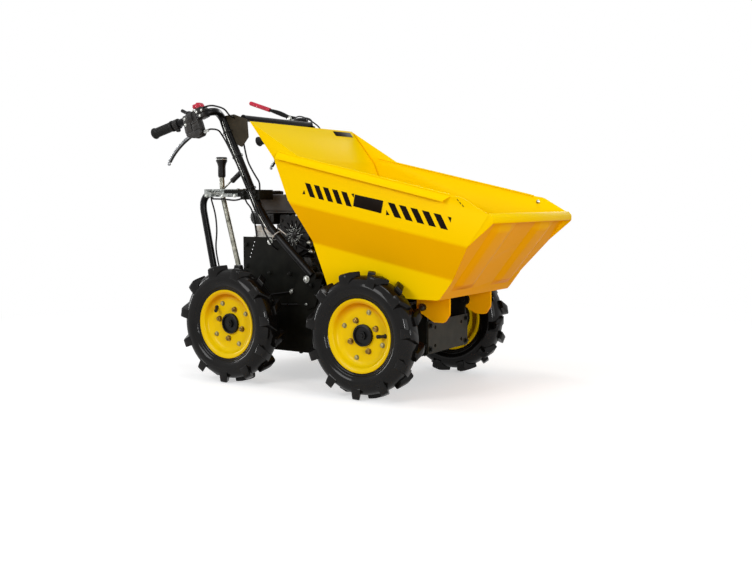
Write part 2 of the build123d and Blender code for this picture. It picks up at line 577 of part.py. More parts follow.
def grip_bar(start, end, radius):
    """A round bar about the grip's own, between two distances from its end."""
    (x0, z0), (x1, z1) = on_grip(start, 0), on_grip(end, 0)
    return rod((x0, -GRIP_Y, z0), (x1, -GRIP_Y, z1), radius)


def build_handlebar():
    """Uprights, crossbar and what the driver holds."""
    bar = right_bar(BAR_R, BAR_WALL)
    keep("handlebar_right", bar)
    keep("handlebar_left", mirrored(bar))
    reach = UPRIGHT_Y - GUSSET_T - SEAT
    keep("crossbar", disc_y(CROSSBAR_X, -reach, reach, CROSSBAR_Z, CROSSBAR_R))
    outline = [(-114, 558), (-64, 562), (-5, 542), (0, 480), (-30, 447), (-64, 461)]
    gusset = side_plate([(x, DECK_Z + z) for x, z in outline], -UPRIGHT_Y, -UPRIGHT_Y + GUSSET_T)
    gusset -= right_bar(BAR_R + SEAT)
    keep("gussets", gusset, mirrored(gusset))
    foot_y = -PLATE_Y - SEAT
    outline = [(-126, -89), (-50, -123), (-14, -111), (20, -3), (-14, 35), (-70, 17)]
    foot = side_plate([(BAR_FOOT_X + x, BAR_FOOT_Z + z) for x, z in outline], foot_y - FOOT_T, foot_y, 8)
    for x, z in ((-18, 16), (2, -2)):
        foot += disc_y(BAR_FOOT_X + x, -UPRIGHT_Y, foot_y, BAR_FOOT_Z + z, 13)
    foot -= right_bar(BAR_R + SEAT)
    keep("handlebar_feet", foot, mirrored(foot))
    grip = grip_bar(-GRIP_OVERHANG, GRIP_L - GRIP_OVERHANG, GRIP_R) - grip_bar(-SEAT, GRIP_L, BAR_R + SEAT)
    keep("grips", grip, mirrored(grip))


def lever_perch():
    """The right-hand casting on the bar, with the slot below for the brake lever's end."""
    outline = [(158, 17), (210, 17), (216, -20), (221, -70), (182, -73), (154, -60), (153, -10)]
    body = side_plate([on_grip(s, h) for s, h in outline], -GRIP_Y - 15, -GRIP_Y + 17, 6)
    half = LEVER_R + SEAT
    slot = [on_grip(s, h) for s, h in ((140, -52), (208, -52), (208, -80), (140, -80))]
    slot = side_plate(slot, LEVER_Y - half, LEVER_Y + half)
    return body - slot - grip_bar(140, 226, BAR_R + SEAT)


def brake_lever():
    """The right-hand lever, curved down from its perch to a ball end."""
    points = [(202, -63), (146, -59), (87, -83), (35, -120)]
    bar = bent_bar([(x, LEVER_Y, z) for x, z in (on_grip(s, h) for s, h in points)], [110, 160], LEVER_R)
    x, z = on_grip(31, -123)
    return bar + Pos(x, LEVER_Y, z) * Sphere(LEVER_R + 2)


def switch_box():
    """The box around the start of the bar's bend, hollowed for it."""
    y0, y1 = -GRIP_Y - 17, -GRIP_Y + 17
    box = side_plate([on_grip(s, h) for s, h in ((218, -16), (218, 27), (250, 27), (250, -16))], y0, y1, 4)
    (x0, z0), (x1, z1) = on_grip(228, 0), on_grip(254, 0)
    return box - grip_bar(214, 238, BAR_R + SEAT) - rod((x0, -GRIP_Y, z0), (x1, -GRIP_Y + 11, z1), BAR_R + 3.5)


def clutch_lever():
    """The left-hand blade on its bracket, which ends in a round stem for the sleeve."""
    outline = [(170, 32 + SEAT), (198, 32 + SEAT), (199, 44), (182, 52), (143, 73), (101, 102), (97, 92),
               (141, 61), (162, 48)]
    blade = side_plate([on_grip(s, h) for s, h in outline], GRIP_Y - 8, GRIP_Y + 8)
    (x0, z0), (x1, z1) = on_grip(110, 89), on_grip(86, 105.5)
    return blade + rod((x0, GRIP_Y, z0), (x1, GRIP_Y, z1), LEVER_R)


def build_controls():
    """Levers and switches on the handlebar; none of them has a joint."""
    perch = lever_perch()
    keep("lever_perches", perch, mirrored(perch))
    keep("brake_levers", brake_lever(), mirrored(brake_lever()))
    keep("switch_box", switch_box())
    button = side_plate([on_grip(s, h) for s, h in ((220, 27 + SEAT), (209, 48), (240, 48), (245, 27 + SEAT))],
                        -GRIP_Y - 9, -GRIP_Y + 9)
    keep("stop_switch", button)
    (x0, z0), (x1, z1) = on_grip(168, 21.2), on_grip(147, 38)
    keep("throttle_lever", rod((x0, -GRIP_Y, z0), (x1, -GRIP_Y, z1), LEVER_R))
    bracket = side_plate([on_grip(s, h) for s, h in ((162, 17 + SEAT), (168, 32), (201, 32), (207, 17 + SEAT))],
                         GRIP_Y - 14, GRIP_Y + 14)
    keep("clutch_bracket", bracket)
    keep("clutch_lever", clutch_lever())
    (x0, z0), (x1, z1) = on_grip(85.8, 105.6), on_grip(-6, 164)
    keep("clutch_lever_sleeve", rod((x0, GRIP_Y, z0), (x1, GRIP_Y, z1), LEVER_R + 3))


# ---------------------------------------------------------- the gear linkage
def gate_clamp():
    """The block clamped on the right upright, with the bar that carries the gate's plate."""
    outer_y = -UPRIGHT_Y - BAR_R - 1
    clamp = block(-26, 60, outer_y, GEAR_Y - 10, HOOP_Z - 22, GATE_Z - GATE_T - SEAT)
    bar = block(GATE_X0 + 100, -24, GATE_Y0 - SEAT - 4, GATE_Y0 - SEAT, GATE_Z - 15, GATE_Z - GATE_T - SEAT)
    return clamp + bar - right_bar(BAR_R + SEAT)


def gate_hoop():
    """The tube from the clamp, back under the gate's plate and down to the chassis."""
    foot_y, foot_z = HOOP_Y + 14, DECK_Z - 143
    points = [(-26 - SEAT, HOOP_Y, HOOP_Z), (-257, HOOP_Y, HOOP_Z), (-258, HOOP_Y, DECK_Z + 228),
              (-190, foot_y, foot_z), (CHASSIS_REAR_X - SEAT, foot_y, foot_z)]
    return bent_bar(points, [42, 80, 60], HOOP_R)


def knob():
    """The gear lever's knob: a cone with a wider cap."""
    return spun([(0, 0), (KNOB_FOOT_R, 0), (KNOB_R - 3, KNOB_L - 18), (KNOB_R, KNOB_L - 14), (KNOB_R, KNOB_L - 3),
                 (KNOB_R - 3, KNOB_L), (0, KNOB_L)])


def build_gear_linkage():
    """The gear lever in its gate, behind the engine and beside the right upright."""
    foot, bend, top = (-91, DECK_Z - 53), (-184, DECK_Z + 278), (-187, DECK_Z + 343)
    gear_rod = bent_bar([(x, GEAR_Y, z) for x, z in (foot, bend, top)], [120], ROD_R)
    hand_y = GATE_Y0 + 18
    hand_rod = rod((-157, hand_y, GATE_Z + 3), (-119, hand_y, GATE_Z + 31), 3)
    keep("lever_rods", gear_rod, hand_rod)
    hand_grip = rod((-118.8, hand_y, GATE_Z + 31.15), (-57, hand_y, GATE_Z + 76.7), 10)
    keep("lever_grips", Pos(top[0], GEAR_Y, top[1] + SEAT + 0.5) * Rot(90, 0, 0) * knob(), hand_grip)
    housing = block(-118, CHASSIS_REAR_X - SEAT, GEAR_Y - 22, GEAR_Y + 30, DECK_Z - 106, DECK_Z - 56)
    keep("selector_housing", housing)
    gate = block(GATE_X0, GATE_X1, GATE_Y0, GATE_Y1, GATE_Z - GATE_T, GATE_Z)
    flange = block(GATE_X0, GATE_X1, GATE_Y0, GATE_Y0 + GATE_T, GATE_Z - GATE_FLANGE, GATE_Z)
    slot = block(-212, -162, GEAR_Y - ROD_R - 3, GEAR_Y + ROD_R + 3, GATE_Z - GATE_T - 1, GATE_Z + 1)
    keep("gate_plate", gate + flange - slot)
    keep("gate_clamp", gate_clamp())
    keep("gate_hoop", gate_hoop())


def build_cables():
    """The control cables, each in one piece from what pulls it to where it goes out of sight."""
    y = -UPRIGHT_Y - BAR_R - CABLE_R - 1.2      # beside the right upright
    (brake_x, brake_z), (switch_x, switch_z) = on_grip(224, -60), on_grip(251, 18)
    clutch_x, clutch_z = on_grip(206, 25)
    inner_y = GATE_Y0 + 46
    hook_z = GATE_Z - GATE_FLANGE
    plate_z = GATE_Z - GATE_T - CABLE_GAP
    down = [(BAR_HIP_X - 14, y, BAR_HIP_Z + 40), (BAR_HIP_X + 11, y, BAR_HIP_Z - 23),
            (BAR_KNEE_X - 12, y + 6, BAR_KNEE_Z - 20), (BAR_KNEE_X + 2, y + 32, BAR_KNEE_Z - 70),
            (BAR_KNEE_X + 4, -PLATE_Y - 2 * CABLE_GAP, BAR_KNEE_Z - 84)]
    runs = {
        "right brake": [(brake_x, -GRIP_Y + 4, brake_z), (-106, -GRIP_Y + 12, DECK_Z + 508),
                        (-86, -256, DECK_Z + 506), (-90, y, DECK_Z + 472)] + down,
        "throttle": [(switch_x, -GRIP_Y - 6, switch_z), (-84, -GRIP_Y - 2, DECK_Z + 588),
                     (-58, -256, DECK_Z + 578), (-62, -226, DECK_Z + 556), (-62, -UPRIGHT_Y - CABLE_GAP, DECK_Z + 550)],
        "stop": [(-30, -188, CROSSBAR_Z - CROSSBAR_R - 2), (-34, -188, DECK_Z + 472), (-14, -188, DECK_Z + 396),
                 (16, -188, DECK_Z + 352), (40, -188, DECK_Z + 322), (40, -188, GATE_Z - GATE_T)],
        "gear": [(-230, -137, plate_z), (-236, -137, DECK_Z + 268), (-214, -137, DECK_Z + 208),
                 (-208, -137, DECK_Z + 146), (-218, -136, DECK_Z + 84), (-204, -128, DECK_Z - 10),
                 (-150, -96, DECK_Z - 84), (CHASSIS_REAR_X - CABLE_GAP, -90, DECK_Z - 88)],
        "hand": [(-198, GATE_Y0 + 1.5, hook_z - 2 * CABLE_GAP), (-196, GATE_Y0 - 1, hook_z - 7), (-140, GATE_Y0 - 6, hook_z - 8),
                 (-84, GATE_Y0 - 5, hook_z - 13), (-50, GATE_Y0 - 3, hook_z - 5), (-26 - SEAT, GATE_Y0 - 3, hook_z - 5)],
        "choke": [(-84, inner_y, plate_z), (-82, inner_y, DECK_Z + 258), (-54, inner_y, DECK_Z + 232),
                  (-43, inner_y, DECK_Z + 204), (-34, inner_y, DECK_Z + 160), (-27, inner_y, DECK_Z + 110),
                  (-27, inner_y, DECK_Z + SEAT)],
        "clutch": [(clutch_x, GRIP_Y, clutch_z), (-120, GRIP_Y, DECK_Z + 588), (-76, GRIP_Y - 12, DECK_Z + 574),
                   (-52, 232, DECK_Z + 530), (-72, -y, DECK_Z + 446)] + [(x, -y1, z) for x, y1, z in down],
    }
    keep("control_cables", *(cable(run) for run in runs.values()))


build_wheels()
build_skip()
build_chassis()
build_engine()
build_handlebar()
build_controls()
build_gear_linkage()
build_cables()

boxes = [shape.bounding_box() for shape in NODES.values()]
middle = round((min(box.min.X for box in boxes) + max(box.max.X for box in boxes)) / 2)
for name, shape in NODES.items():
    export_step(Pos(-middle, 0, 0) * shape, f"parts/{name}.step")
print(f"rear axle at x = {-middle}; {len(NODES)} nodes")
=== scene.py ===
"""Looks of a walk-behind site dumper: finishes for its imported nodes, and finer pieces around them.

Places are those of the machine's own drawing, in millimetres from the ground under the rear
axle: x forward, y to the left, z up. DRAWING turns them to metres in the frame.
"""

import json
import math

import bmesh
import bpy
from mathutils import Matrix, Vector


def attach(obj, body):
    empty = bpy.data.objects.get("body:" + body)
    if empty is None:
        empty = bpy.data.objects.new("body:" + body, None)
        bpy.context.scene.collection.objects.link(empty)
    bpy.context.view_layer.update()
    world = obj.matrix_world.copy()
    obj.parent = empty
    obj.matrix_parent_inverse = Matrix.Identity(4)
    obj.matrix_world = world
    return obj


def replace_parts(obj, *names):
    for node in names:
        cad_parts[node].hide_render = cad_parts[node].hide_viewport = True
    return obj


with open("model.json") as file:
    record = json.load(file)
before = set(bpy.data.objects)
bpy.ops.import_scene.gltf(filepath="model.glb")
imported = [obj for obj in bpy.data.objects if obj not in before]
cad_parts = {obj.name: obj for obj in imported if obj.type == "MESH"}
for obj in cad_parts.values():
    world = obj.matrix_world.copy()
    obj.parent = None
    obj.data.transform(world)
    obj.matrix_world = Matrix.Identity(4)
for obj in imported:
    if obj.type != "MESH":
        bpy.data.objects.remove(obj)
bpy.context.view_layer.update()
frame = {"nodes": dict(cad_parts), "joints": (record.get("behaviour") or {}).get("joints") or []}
JOINTS = {joint["name"]: Vector(joint["pos_m"]) for joint in frame["joints"]}
CORNERS = ("rear_right", "rear_left", "front_right", "front_left")
SIDES = (-1, 1)         # right, left
MM = 0.001
REAR_AXLE = JOINTS["wheel_rear_right_spin"]
DRAWING = Matrix.Translation((REAR_AXLE.x, 0, 0)) @ Matrix.Scale(MM, 4)     # drawing to frame

WHEELBASE = 552
AXLE_Z = 203
PLATE_Y = 160           # the side plates' outer faces
SKIP_HALF_W = 302
AXLES_X = (0, WHEELBASE)


def show(name, data):
    """A new object in the scene that holds the data."""
    made = bpy.data.objects.new(name, data)
    bpy.context.scene.collection.objects.link(made)
    return made


# ------------------------------------------------------------ camera and light
CAMERA_PLACE = (2248.5, -2837.0, 632.2)
CAMERA_DIP, CAMERA_TURN = 4.903, 32.447         # degrees
LENS, SIDE_SHIFT = 46.55, -0.0134

LAMP_TARGET = Vector((0, 0, 0.5))
LAMPS = (       # name, place, width and height in metres, watts
    ("key", (-1.0, -3.9, 2.2), 1.7, 1.7, 67),           # the right side
    ("top", (0.5, -0.2, 3.4), 0.3, 1.8, 18),            # rims and lips from above
    ("left", (-0.6, 4.0, 1.8), 2.0, 2.0, 46),           # the side away from the key
    ("fill", (4.2, -0.9, 1.1), 1.8, 1.8, 22),           # the front wall
    ("strip_front", (3.4, -2.3, 0.9), 0.16, 1.7, 50),   # upright glints on rubber and tube
    ("strip_rear", (-3.5, -0.9, 0.9), 0.14, 1.8, 28),
)


def place_camera():
    """The view on the right side and the front, a little above the wheels."""
    data = bpy.data.cameras.new("camera")
    data.lens = LENS
    data.shift_x = SIDE_SHIFT
    camera = show("camera", data)
    camera.location = DRAWING @ Vector(CAMERA_PLACE)
    camera.rotation_euler = (math.radians(90 - CAMERA_DIP), 0, math.radians(CAMERA_TURN))
    bpy.context.scene.camera = camera


def place_lamps():
    """The soft boxes of LAMPS, each turned to the machine's middle."""
    for name, place, width, height, power in LAMPS:
        data = bpy.data.lights.new(name, "AREA")
        data.shape = "RECTANGLE"
        data.size, data.size_y = width, height
        data.energy = power
        lamp = show(name, data)
        lamp.location = place
        away = LAMP_TARGET - Vector(place)
        lamp.rotation_euler = away.to_track_quat("-Z", "Y").to_euler()


# ------------------------------------------------------------------- materials
def linear(colour):
    """An sRGB hex colour as linear red, green, blue and alpha."""
    parts = [int(colour[i:i + 2], 16) / 255 for i in (1, 3, 5)]
    return [p / 12.92 if p <= 0.04045 else ((p + 0.055) / 1.055) ** 2.4 for p in parts] + [1.0]


def add(tree, kind, inputs=None, **settings):
    """Add a node; each of its inputs takes a value or another node's output."""
    made = tree.nodes.new(kind)
    for name, value in settings.items():
        setattr(made, name, value)
    for name, value in (inputs or {}).items():
        if isinstance(value, bpy.types.NodeSocket):
            tree.links.new(value, made.inputs[name])
        else:
            made.inputs[name].default_value = value
    return made


def start_material(name, **shader):
    """A new material with one Principled shader, whose own sockets hold the given values."""
    material = bpy.data.materials.new(name)
    material.use_nodes = True
    tree = material.node_tree
    tree.nodes.clear()
    values = {key.replace("_", " "): value for key, value in shader.items()}
    surface = add(tree, "ShaderNodeBsdfPrincipled", values)
    add(tree, "ShaderNodeOutputMaterial", {"Surface": surface.outputs["BSDF"]})
    return material, tree, surface


def patches(tree, size, detail):
    """Cloudy noise with patches of about the given size in millimetres."""
    place = add(tree, "ShaderNodeTexCoord")
    noise = add(tree, "ShaderNodeTexNoise", {"Vector": place.outputs["Object"],
                                             "Scale": 1000 / size, "Detail": detail})
    return noise.outputs["Fac"]


def shade(tree, surface, factor, stops):
    """Colour the surface by a ramp of two (place, colour) stops."""
    ramp = add(tree, "ShaderNodeValToRGB", {"Fac": factor})
    for element, (place, colour) in zip(ramp.color_ramp.elements, stops):
        element.position = place
        element.color = linear(colour)
    tree.links.new(ramp.outputs["Color"], surface.inputs["Base Color"])


def vary_roughness(tree, surface, factor, low, high):
    """Let the gloss change from place to place."""
    spread = add(tree, "ShaderNodeMapRange", {"Value": factor, "To Min": low, "To Max": high})
    tree.links.new(spread.outputs["Result"], surface.inputs["Roughness"])


def relief(tree, surface, factor, depth, strength):
    """Raise the surface by the factor times a depth in millimetres."""
    bump = add(tree, "ShaderNodeBump", {"Height": factor, "Distance": depth * MM,
                                        "Strength": strength})
    tree.links.new(bump.outputs["Normal"], surface.inputs["Normal"])


def noisy_finish(name, stops, tones, rough, sheen, grain, **shader):
    """A finish of three noises: colour stops over tones, roughness over sheen, grain in relief.

    Tones and sheen are (size, detail); grain is (size, detail, depth, strength).
    """
    material, tree, surface = start_material(name, **shader)
    shade(tree, surface, patches(tree, *tones), stops)
    vary_roughness(tree, surface, patches(tree, *sheen), *rough)
    relief(tree, surface, patches(tree, *grain[:2]), *grain[2:])
    return material


def coated_sheet(name, colour, deep, rough=0.34, gloss=0.014):
    """Yellow coat on steel sheet, with fine orange peel, and painted shade: a deeper colour where a face
    looks down.
    """
    material, tree, surface = start_material(name, IOR=1.5, Specular_IOR_Level=gloss)
    place = add(tree, "ShaderNodeTexCoord")
    normal = add(tree, "ShaderNodeSeparateXYZ", {"Vector": place.outputs["Normal"]})
    # Painted shade: faces whose object-space normal looks down take the deeper colour.
    painted_shade_factor = add(tree, "ShaderNodeMapRange", {"Value": normal.outputs["Z"], "From Min": -0.75,
                                              "From Max": -0.05, "To Max": 0.9})
    uneven = add(tree, "ShaderNodeMath", {0: patches(tree, 260, 3), 1: 0.1,
                                          2: painted_shade_factor.outputs["Result"]},
                 operation="MULTIPLY_ADD")
    shade(tree, surface, uneven.outputs["Value"], [(0.05, deep), (0.95, colour)])
    vary_roughness(tree, surface, patches(tree, 60, 3), rough - 0.05, rough + 0.07)
    relief(tree, surface, patches(tree, 4.0, 1), 0.06, 0.5)
    return material


def black_coat(name, colour, worn, rough, peel=3.0, gloss=0.16):
    """Powder coat on tube and plate: deep, with soft gloss and a fine peel."""
    return noisy_finish(name, [(0.4, colour), (0.7, worn)], (45, 4),
                        (rough - 0.07, rough + 0.1), (24, 3), (peel, 1, 0.08, 0.5),
                        IOR=1.45, Specular_IOR_Level=gloss)


def cast_surface(name, colour, deep, rough, metallic=0.0, grit=2.2, depth=0.25):
    """A sand or die casting: uneven gloss, and a pebbled skin drawn coarse enough to show."""
    return noisy_finish(name, [(0.35, deep), (0.65, colour)], (18, 4),
                        (rough - 0.08, rough + 0.1), (9, 3), (grit, 2, depth, 0.6),
                        Metallic=metallic, Specular_IOR_Level=0.2)


def tyre_rubber(name):
    """Vulcanised rubber with a wet-looking dressing over faint mould marks."""
    return noisy_finish(name, [(0.3, "#060505"), (0.7, "#0E0D0C")], (30, 4),
                        (0.3, 0.5), (22, 4), (9.0, 3, 0.3, 0.6), IOR=1.52,
                        Specular_IOR_Level=0.02, Coat_Weight=0.32, Coat_Roughness=0.09)


def moulded_plastic(name, colour, deep, rough, coat=0.0, gloss=0.22):
    """Injection-moulded plastic; its spark-eroded grain is drawn coarse enough to show."""
    return noisy_finish(name, [(0.35, deep), (0.65, colour)], (35, 3),
                        (rough - 0.05, rough + 0.07), (14, 3), (0.9, 1, 0.06, 0.5),
                        IOR=1.49, Coat_Weight=coat, Specular_IOR_Level=gloss)


def metal_finish(name, colour, deep, rough, size=3.0):
    """Bare or plated metal, clouded by handling; the size is its marks' in millimetres."""
    return noisy_finish(name, [(0.35, deep), (0.65, colour)], (size * 6, 4),
                        (rough - 0.07, rough + 0.09), (size * 3, 3), (size, 2, 0.03, 0.5),
                        Metallic=1.0)


def galvanised_sheet(name):
    """Hot-dip galvanised sheet: crystal spangle of many greys, about 9 mm across."""
    material, tree, surface = start_material(name, Metallic=0.85)
    place = add(tree, "ShaderNodeTexCoord")
    cells = add(tree, "ShaderNodeTexVoronoi", {"Vector": place.outputs["Object"], "Scale": 110})
    grey = add(tree, "ShaderNodeSeparateColor", {"Color": cells.outputs["Color"]})
    shade(tree, surface, grey.outputs["Red"], [(0.1, "#585C5A"), (0.9, "#A2A6A3")])
    vary_roughness(tree, surface, grey.outputs["Green"], 0.28, 0.5)
    relief(tree, surface, patches(tree, 2.0, 2), 0.05, 0.5)
    return material


# A name that the frame uses too comes back with a number, which the key leaves out.
MATERIALS = {made.name.split(".")[0]: made for made in (
    # Powder-coated sheet steel: an even satin yellow, with painted shade in orange where a wall leans over.
    coated_sheet("skip_enamel", "#F8D200", "#EFA400"),
    # Stoved enamel on pressed rims: smoother and glossier than the skip, with the same painted shade on faces
    # that look down.
    coated_sheet("rim_enamel", "#EACA02", "#E29E00", 0.24, 0.12),
    # The same coat on the thick burnt-out plate of the hinge lugs, drawn warmer and brighter: painted light
    # for the bounce that lights them in the skip's shadow.
    coated_sheet("lug_enamel_painted_light", "#FFBC06", "#FC9E02"),
    # Vulcanised rubber: soft black with a few bright glints.
    tyre_rubber("tyre_rubber"),
    # Powder-coated bent tube: the deepest black, with long soft highlights.
    black_coat("tube_coat", "#050506", "#0E0E10", 0.28),
    # Powder-coated plate: a flatter, slightly green black.
    black_coat("plate_coat", "#111210", "#1B1C19", 0.34, gloss=0.08),
    # Thin coat over brown primer: a warm dark grey.
    black_coat("grey_coat", "#38342B", "#423E34", 0.4, gloss=0.12),
    # The front plate's black coat drawn as a dark olive grey, lighter than the plate black: a painted
    # reflection of light on its flat face.
    black_coat("olive_coat_painted_reflection", "#26251E", "#2F2D25", 0.4, gloss=0.1),
    # Painted sand castings: pebbled black.
    cast_surface("painted_casting", "#0B0B0C", "#050506", 0.42),
    # Die-cast alloy in grey paint: dull, fine-grained.
    cast_surface("grey_casting", "#343434", "#222222", 0.45, 0.0, 2.4, 0.3),
    # Bare die-cast aluminium: pale, with a metal's soft shine.
    cast_surface("cast_aluminium", "#C4C5C4", "#9FA1A1", 0.42, 0.85, 1.6, 0.12),
    # Stoved enamel on the tank's pressings: dark grey with a clear sheen.
    black_coat("tank_enamel", "#4A4B4D", "#545557", 0.3, 4.0),
    # Moulded polypropylene: neutral black, faintly grained; the same black draws a painted dark reflection
    # under the brake blades.
    moulded_plastic("black_plastic", "#1A1918", "#100F0F", 0.4),
    # Moulded natural nylon: milky pale grey.
    moulded_plastic("nylon_tie", "#BDBEBE", "#ABACAC", 0.4),
    # Moulded ABS: saturated red under a thin gloss.
    moulded_plastic("red_plastic", "#C81E40", "#AE1433", 0.34, 0.2),
    # Moulded soft rubber: dull black that takes no glints.
    moulded_plastic("grip_rubber", "#131313", "#0B0B0B", 0.6),
    # Extruded PVC: smooth black with a thin line of light.
    moulded_plastic("cable_sheath", "#0A0A0A", "#050505", 0.34),
    # Cut vinyl film: a flat brownish black; the same film stands for painted shade in the skip's and the
    # gate's slots.
    moulded_plastic("black_vinyl", "#17100A", "#0F0A06", 0.4, gloss=0.04),
    # Hot-dip galvanised sheet: mottled silver grey.
    galvanised_sheet("galvanised_sheet"),
    # Bright zinc plate: clean silver that catches every lamp.
    metal_finish("bright_zinc", "#DADBD6", "#A9AAA4", 0.34),
    # Aged yellow zinc plate: a dull grey with a little warmth.
    metal_finish("yellow_zinc", "#96958A", "#5C5B52", 0.36),
    # Fresh yellow zinc plate: brassy gold.
    metal_finish("brass_zinc", "#A88A4A", "#5E4A24", 0.36),
    # Thin yellow zinc plate: pale straw, less shiny.
    metal_finish("pale_zinc", "#A9A076", "#7A7348", 0.5),
    # Sand-blasted alloy casting: chalky off-white.
    cast_surface("pale_casting", "#DCDCD8", "#B4B4B0", 0.5),
    # Buffed aluminium: even grey with a sharper shine.
    metal_finish("polished_aluminium", "#A9ABAD", "#77797B", 0.26),
    # Steel sheet scorched by exhaust heat: blotched brown grey.
    metal_finish("scorched_steel", "#6E6963", "#3A342F", 0.48, 5.0),
)}

NODE_FINISHES = {
    "skip_enamel": ["skip_side_right", "skip_side_left", "skip_front", "skip_rear", "skip_floor"],
    # The hinge lugs take a brighter, warmer copy of the skip's coat: painted light.
    "lug_enamel_painted_light": ["skip_hinge_lugs"],
    "rim_enamel": [f"rim_{corner}" for corner in CORNERS],
    "tyre_rubber": [f"tyre_{corner}" for corner in CORNERS],
    "painted_casting": ["gearbox", "front_differential", "rear_axle", "front_axle",
                        "selector_housing"] + [f"hub_{corner}" for corner in CORNERS],
    "plate_coat": ["side_plate_right", "side_plate_left", "belly_pan", "engine_deck",
                   "rear_plate", "crossmember", "hinge_ears", "handlebar_feet", "belt_cover",
                   "gate_clamp"],
    "grey_coat": ["gussets"],
    "olive_coat_painted_reflection": ["front_plate"],
    "tube_coat": ["handlebar_right", "handlebar_left", "crossbar", "clutch_lever", "gate_hoop"],
    "tank_enamel": ["fuel_tank"],
    "black_plastic": ["fan_housing", "tank_cap", "air_cleaner", "switch_box", "throttle_lever"],
    "red_plastic": ["stop_switch", "clutch_lever_sleeve"],
    "grip_rubber": ["grips", "lever_grips"],
    "cable_sheath": ["control_cables"],
    "cast_aluminium": ["clutch_bracket"],
    "grey_casting": ["lever_perches", "engine_crankcase", "engine_cylinder"],
    "polished_aluminium": ["brake_levers"],
    "scorched_steel": ["muffler"],
    "galvanised_sheet": ["gate_plate"],
    "yellow_zinc": ["lever_rods"],
}


def finish_nodes():
    """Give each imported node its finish."""
    for name, nodes in NODE_FINISHES.items():
        for node in nodes:
            mesh = frame["nodes"][node].data
            mesh.materials.clear()
            mesh.materials.append(MATERIALS[name])


# ---------------------------------------------------------------- shape helpers
MERGE_GAP = 1e-4
TUBE_SHARP = 60         # degrees from which an edge of a bent, coiled or ribbed piece is sharp


def piece(name, shape, material, body, sharp=35):
    """Make a finished bmesh, in metres, an object that rides on a body."""
    mesh = bpy.data.meshes.new(name)
    shape.to_mesh(mesh)
    shape.free()
    mesh.shade_smooth()
    mesh.set_sharp_from_angle(angle=math.radians(sharp))
    mesh.materials.append(MATERIALS[material])
    made = show(name, mesh)
    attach(made, body)
    return made


def fitting(name, shape, material, body="chassis", sharp=35):
    """A piece whose bmesh is still in the drawing's millimetres."""
    return piece(name, moved(shape, DRAWING), material, body, sharp)


def moved(shape, matrix):
    """The same bmesh after a transform, its faces still outwards."""
    bmesh.ops.transform(shape, matrix=matrix, verts=shape.verts)
    if matrix.determinant() < 0:
        bmesh.ops.reverse_faces(shape, faces=shape.faces)
    return shape


def joined(*shapes):
    """One bmesh of several; the others are freed."""
    first = shapes[0]
    for other in shapes[1:]:
        mesh = bpy.data.meshes.new("part")
        other.to_mesh(mesh)
        other.free()
        first.from_mesh(mesh)
        bpy.data.meshes.remove(mesh)
    return first


def both(shape):
    """The shape and its mirror image on the machine's other side."""
    return joined(shape, moved(shape.copy(), Matrix.Scale(-1, 4, (0, 1, 0))))


def close_up(shape):
    """Merge what lies on itself and turn every face outwards."""
    bmesh.ops.remove_doubles(shape, verts=shape.verts, dist=MERGE_GAP)
    bmesh.ops.recalc_face_normals(shape, faces=shape.faces)
    return shape


def round_off(shape, geom, offset, segments=2, affect="EDGES"):
    """Bevel edges or corners."""
    bmesh.ops.bevel(shape, geom=geom, offset=offset, segments=segments, profile=0.5,
                    affect=affect, material=-1)
    return shape


def ease(shape, width, low=40, high=180, segments=2):
    """Round the edges that turn by an angle between low and high, in degrees."""
    edges = [e for e in shape.edges if len(e.link_faces) == 2
             and math.radians(low) < e.calc_face_angle(0) < math.radians(high)]
    return round_off(shape, edges, width, segments)


def thicken(shape, along):
    """Extrude a bmesh's one face along a vector."""
    grown = bmesh.ops.extrude_face_region(shape, geom=shape.faces[:])
    far = [v for v in grown["geom"] if isinstance(v, bmesh.types.BMVert)]
    bmesh.ops.translate(shape, verts=far, vec=along)
    bmesh.ops.recalc_face_normals(shape, faces=shape.faces)


def block(x0, x1, y0, y1, z0, z1, soft=1.2):
    """A box between two corners, its edges eased."""
    shape = bmesh.new()
    middle = Matrix.Translation(((x0 + x1) / 2, (y0 + y1) / 2, (z0 + z1) / 2))
    size = Matrix.Diagonal((x1 - x0, y1 - y0, z1 - z0, 1))
    bmesh.ops.create_cube(shape, size=1, matrix=middle @ size)
    return ease(shape, soft)


def slab(outline, y0, y1, soft=0.8, corner=0.0):
    """An outline of (x, z) from y0 to y1, its corners rounded if asked and its edges eased."""
    shape = bmesh.new()
    shape.faces.new([shape.verts.new((x, y0, z)) for x, z in outline])
    if corner:
        round_off(shape, shape.verts[:], corner, 3, "VERTICES")
    thicken(shape, (0, y1 - y0, 0))
    return ease(shape, soft, 60) if soft else shape


def spun(points, axis, steps):
    """Spin a chain of points once round an axis through the origin."""
    shape = bmesh.new()
    verts = [shape.verts.new(point) for point in points]
    edges = [shape.edges.new(pair) for pair in zip(verts, verts[1:])]
    bmesh.ops.spin(shape, geom=verts + edges, axis=axis, cent=(0, 0, 0), angle=2 * math.pi,
                   steps=steps, use_merge=True)
    return close_up(shape)


def turn_to(start, before, after):
    """The transform that turns one direction to another and moves the origin to a start."""
    turn = Vector(before).rotation_difference(Vector(after)).to_matrix().to_4x4()
    return Matrix.Translation(start) @ turn


def lathe(profile, start=(0, 0, 0), toward=(0, 1, 0), steps=28):
    """Spin (radius, along) points about the line from a start toward a direction."""
    shape = spun([(r, 0, z) for r, z in profile], (0, 0, 1), steps)
    return moved(shape, turn_to(start, (0, 0, 1), toward))


def rod(start, end, radius, steps=20, soft=0.8):
    """A round bar between two points with eased ends."""
    start, end = Vector(start), Vector(end)
    length = (end - start).length
    profile = [(0, 0), (radius - soft, 0), (radius, soft), (radius, length - soft),
               (radius - soft, length), (0, length)]
    return lathe(profile, start, end - start, steps)


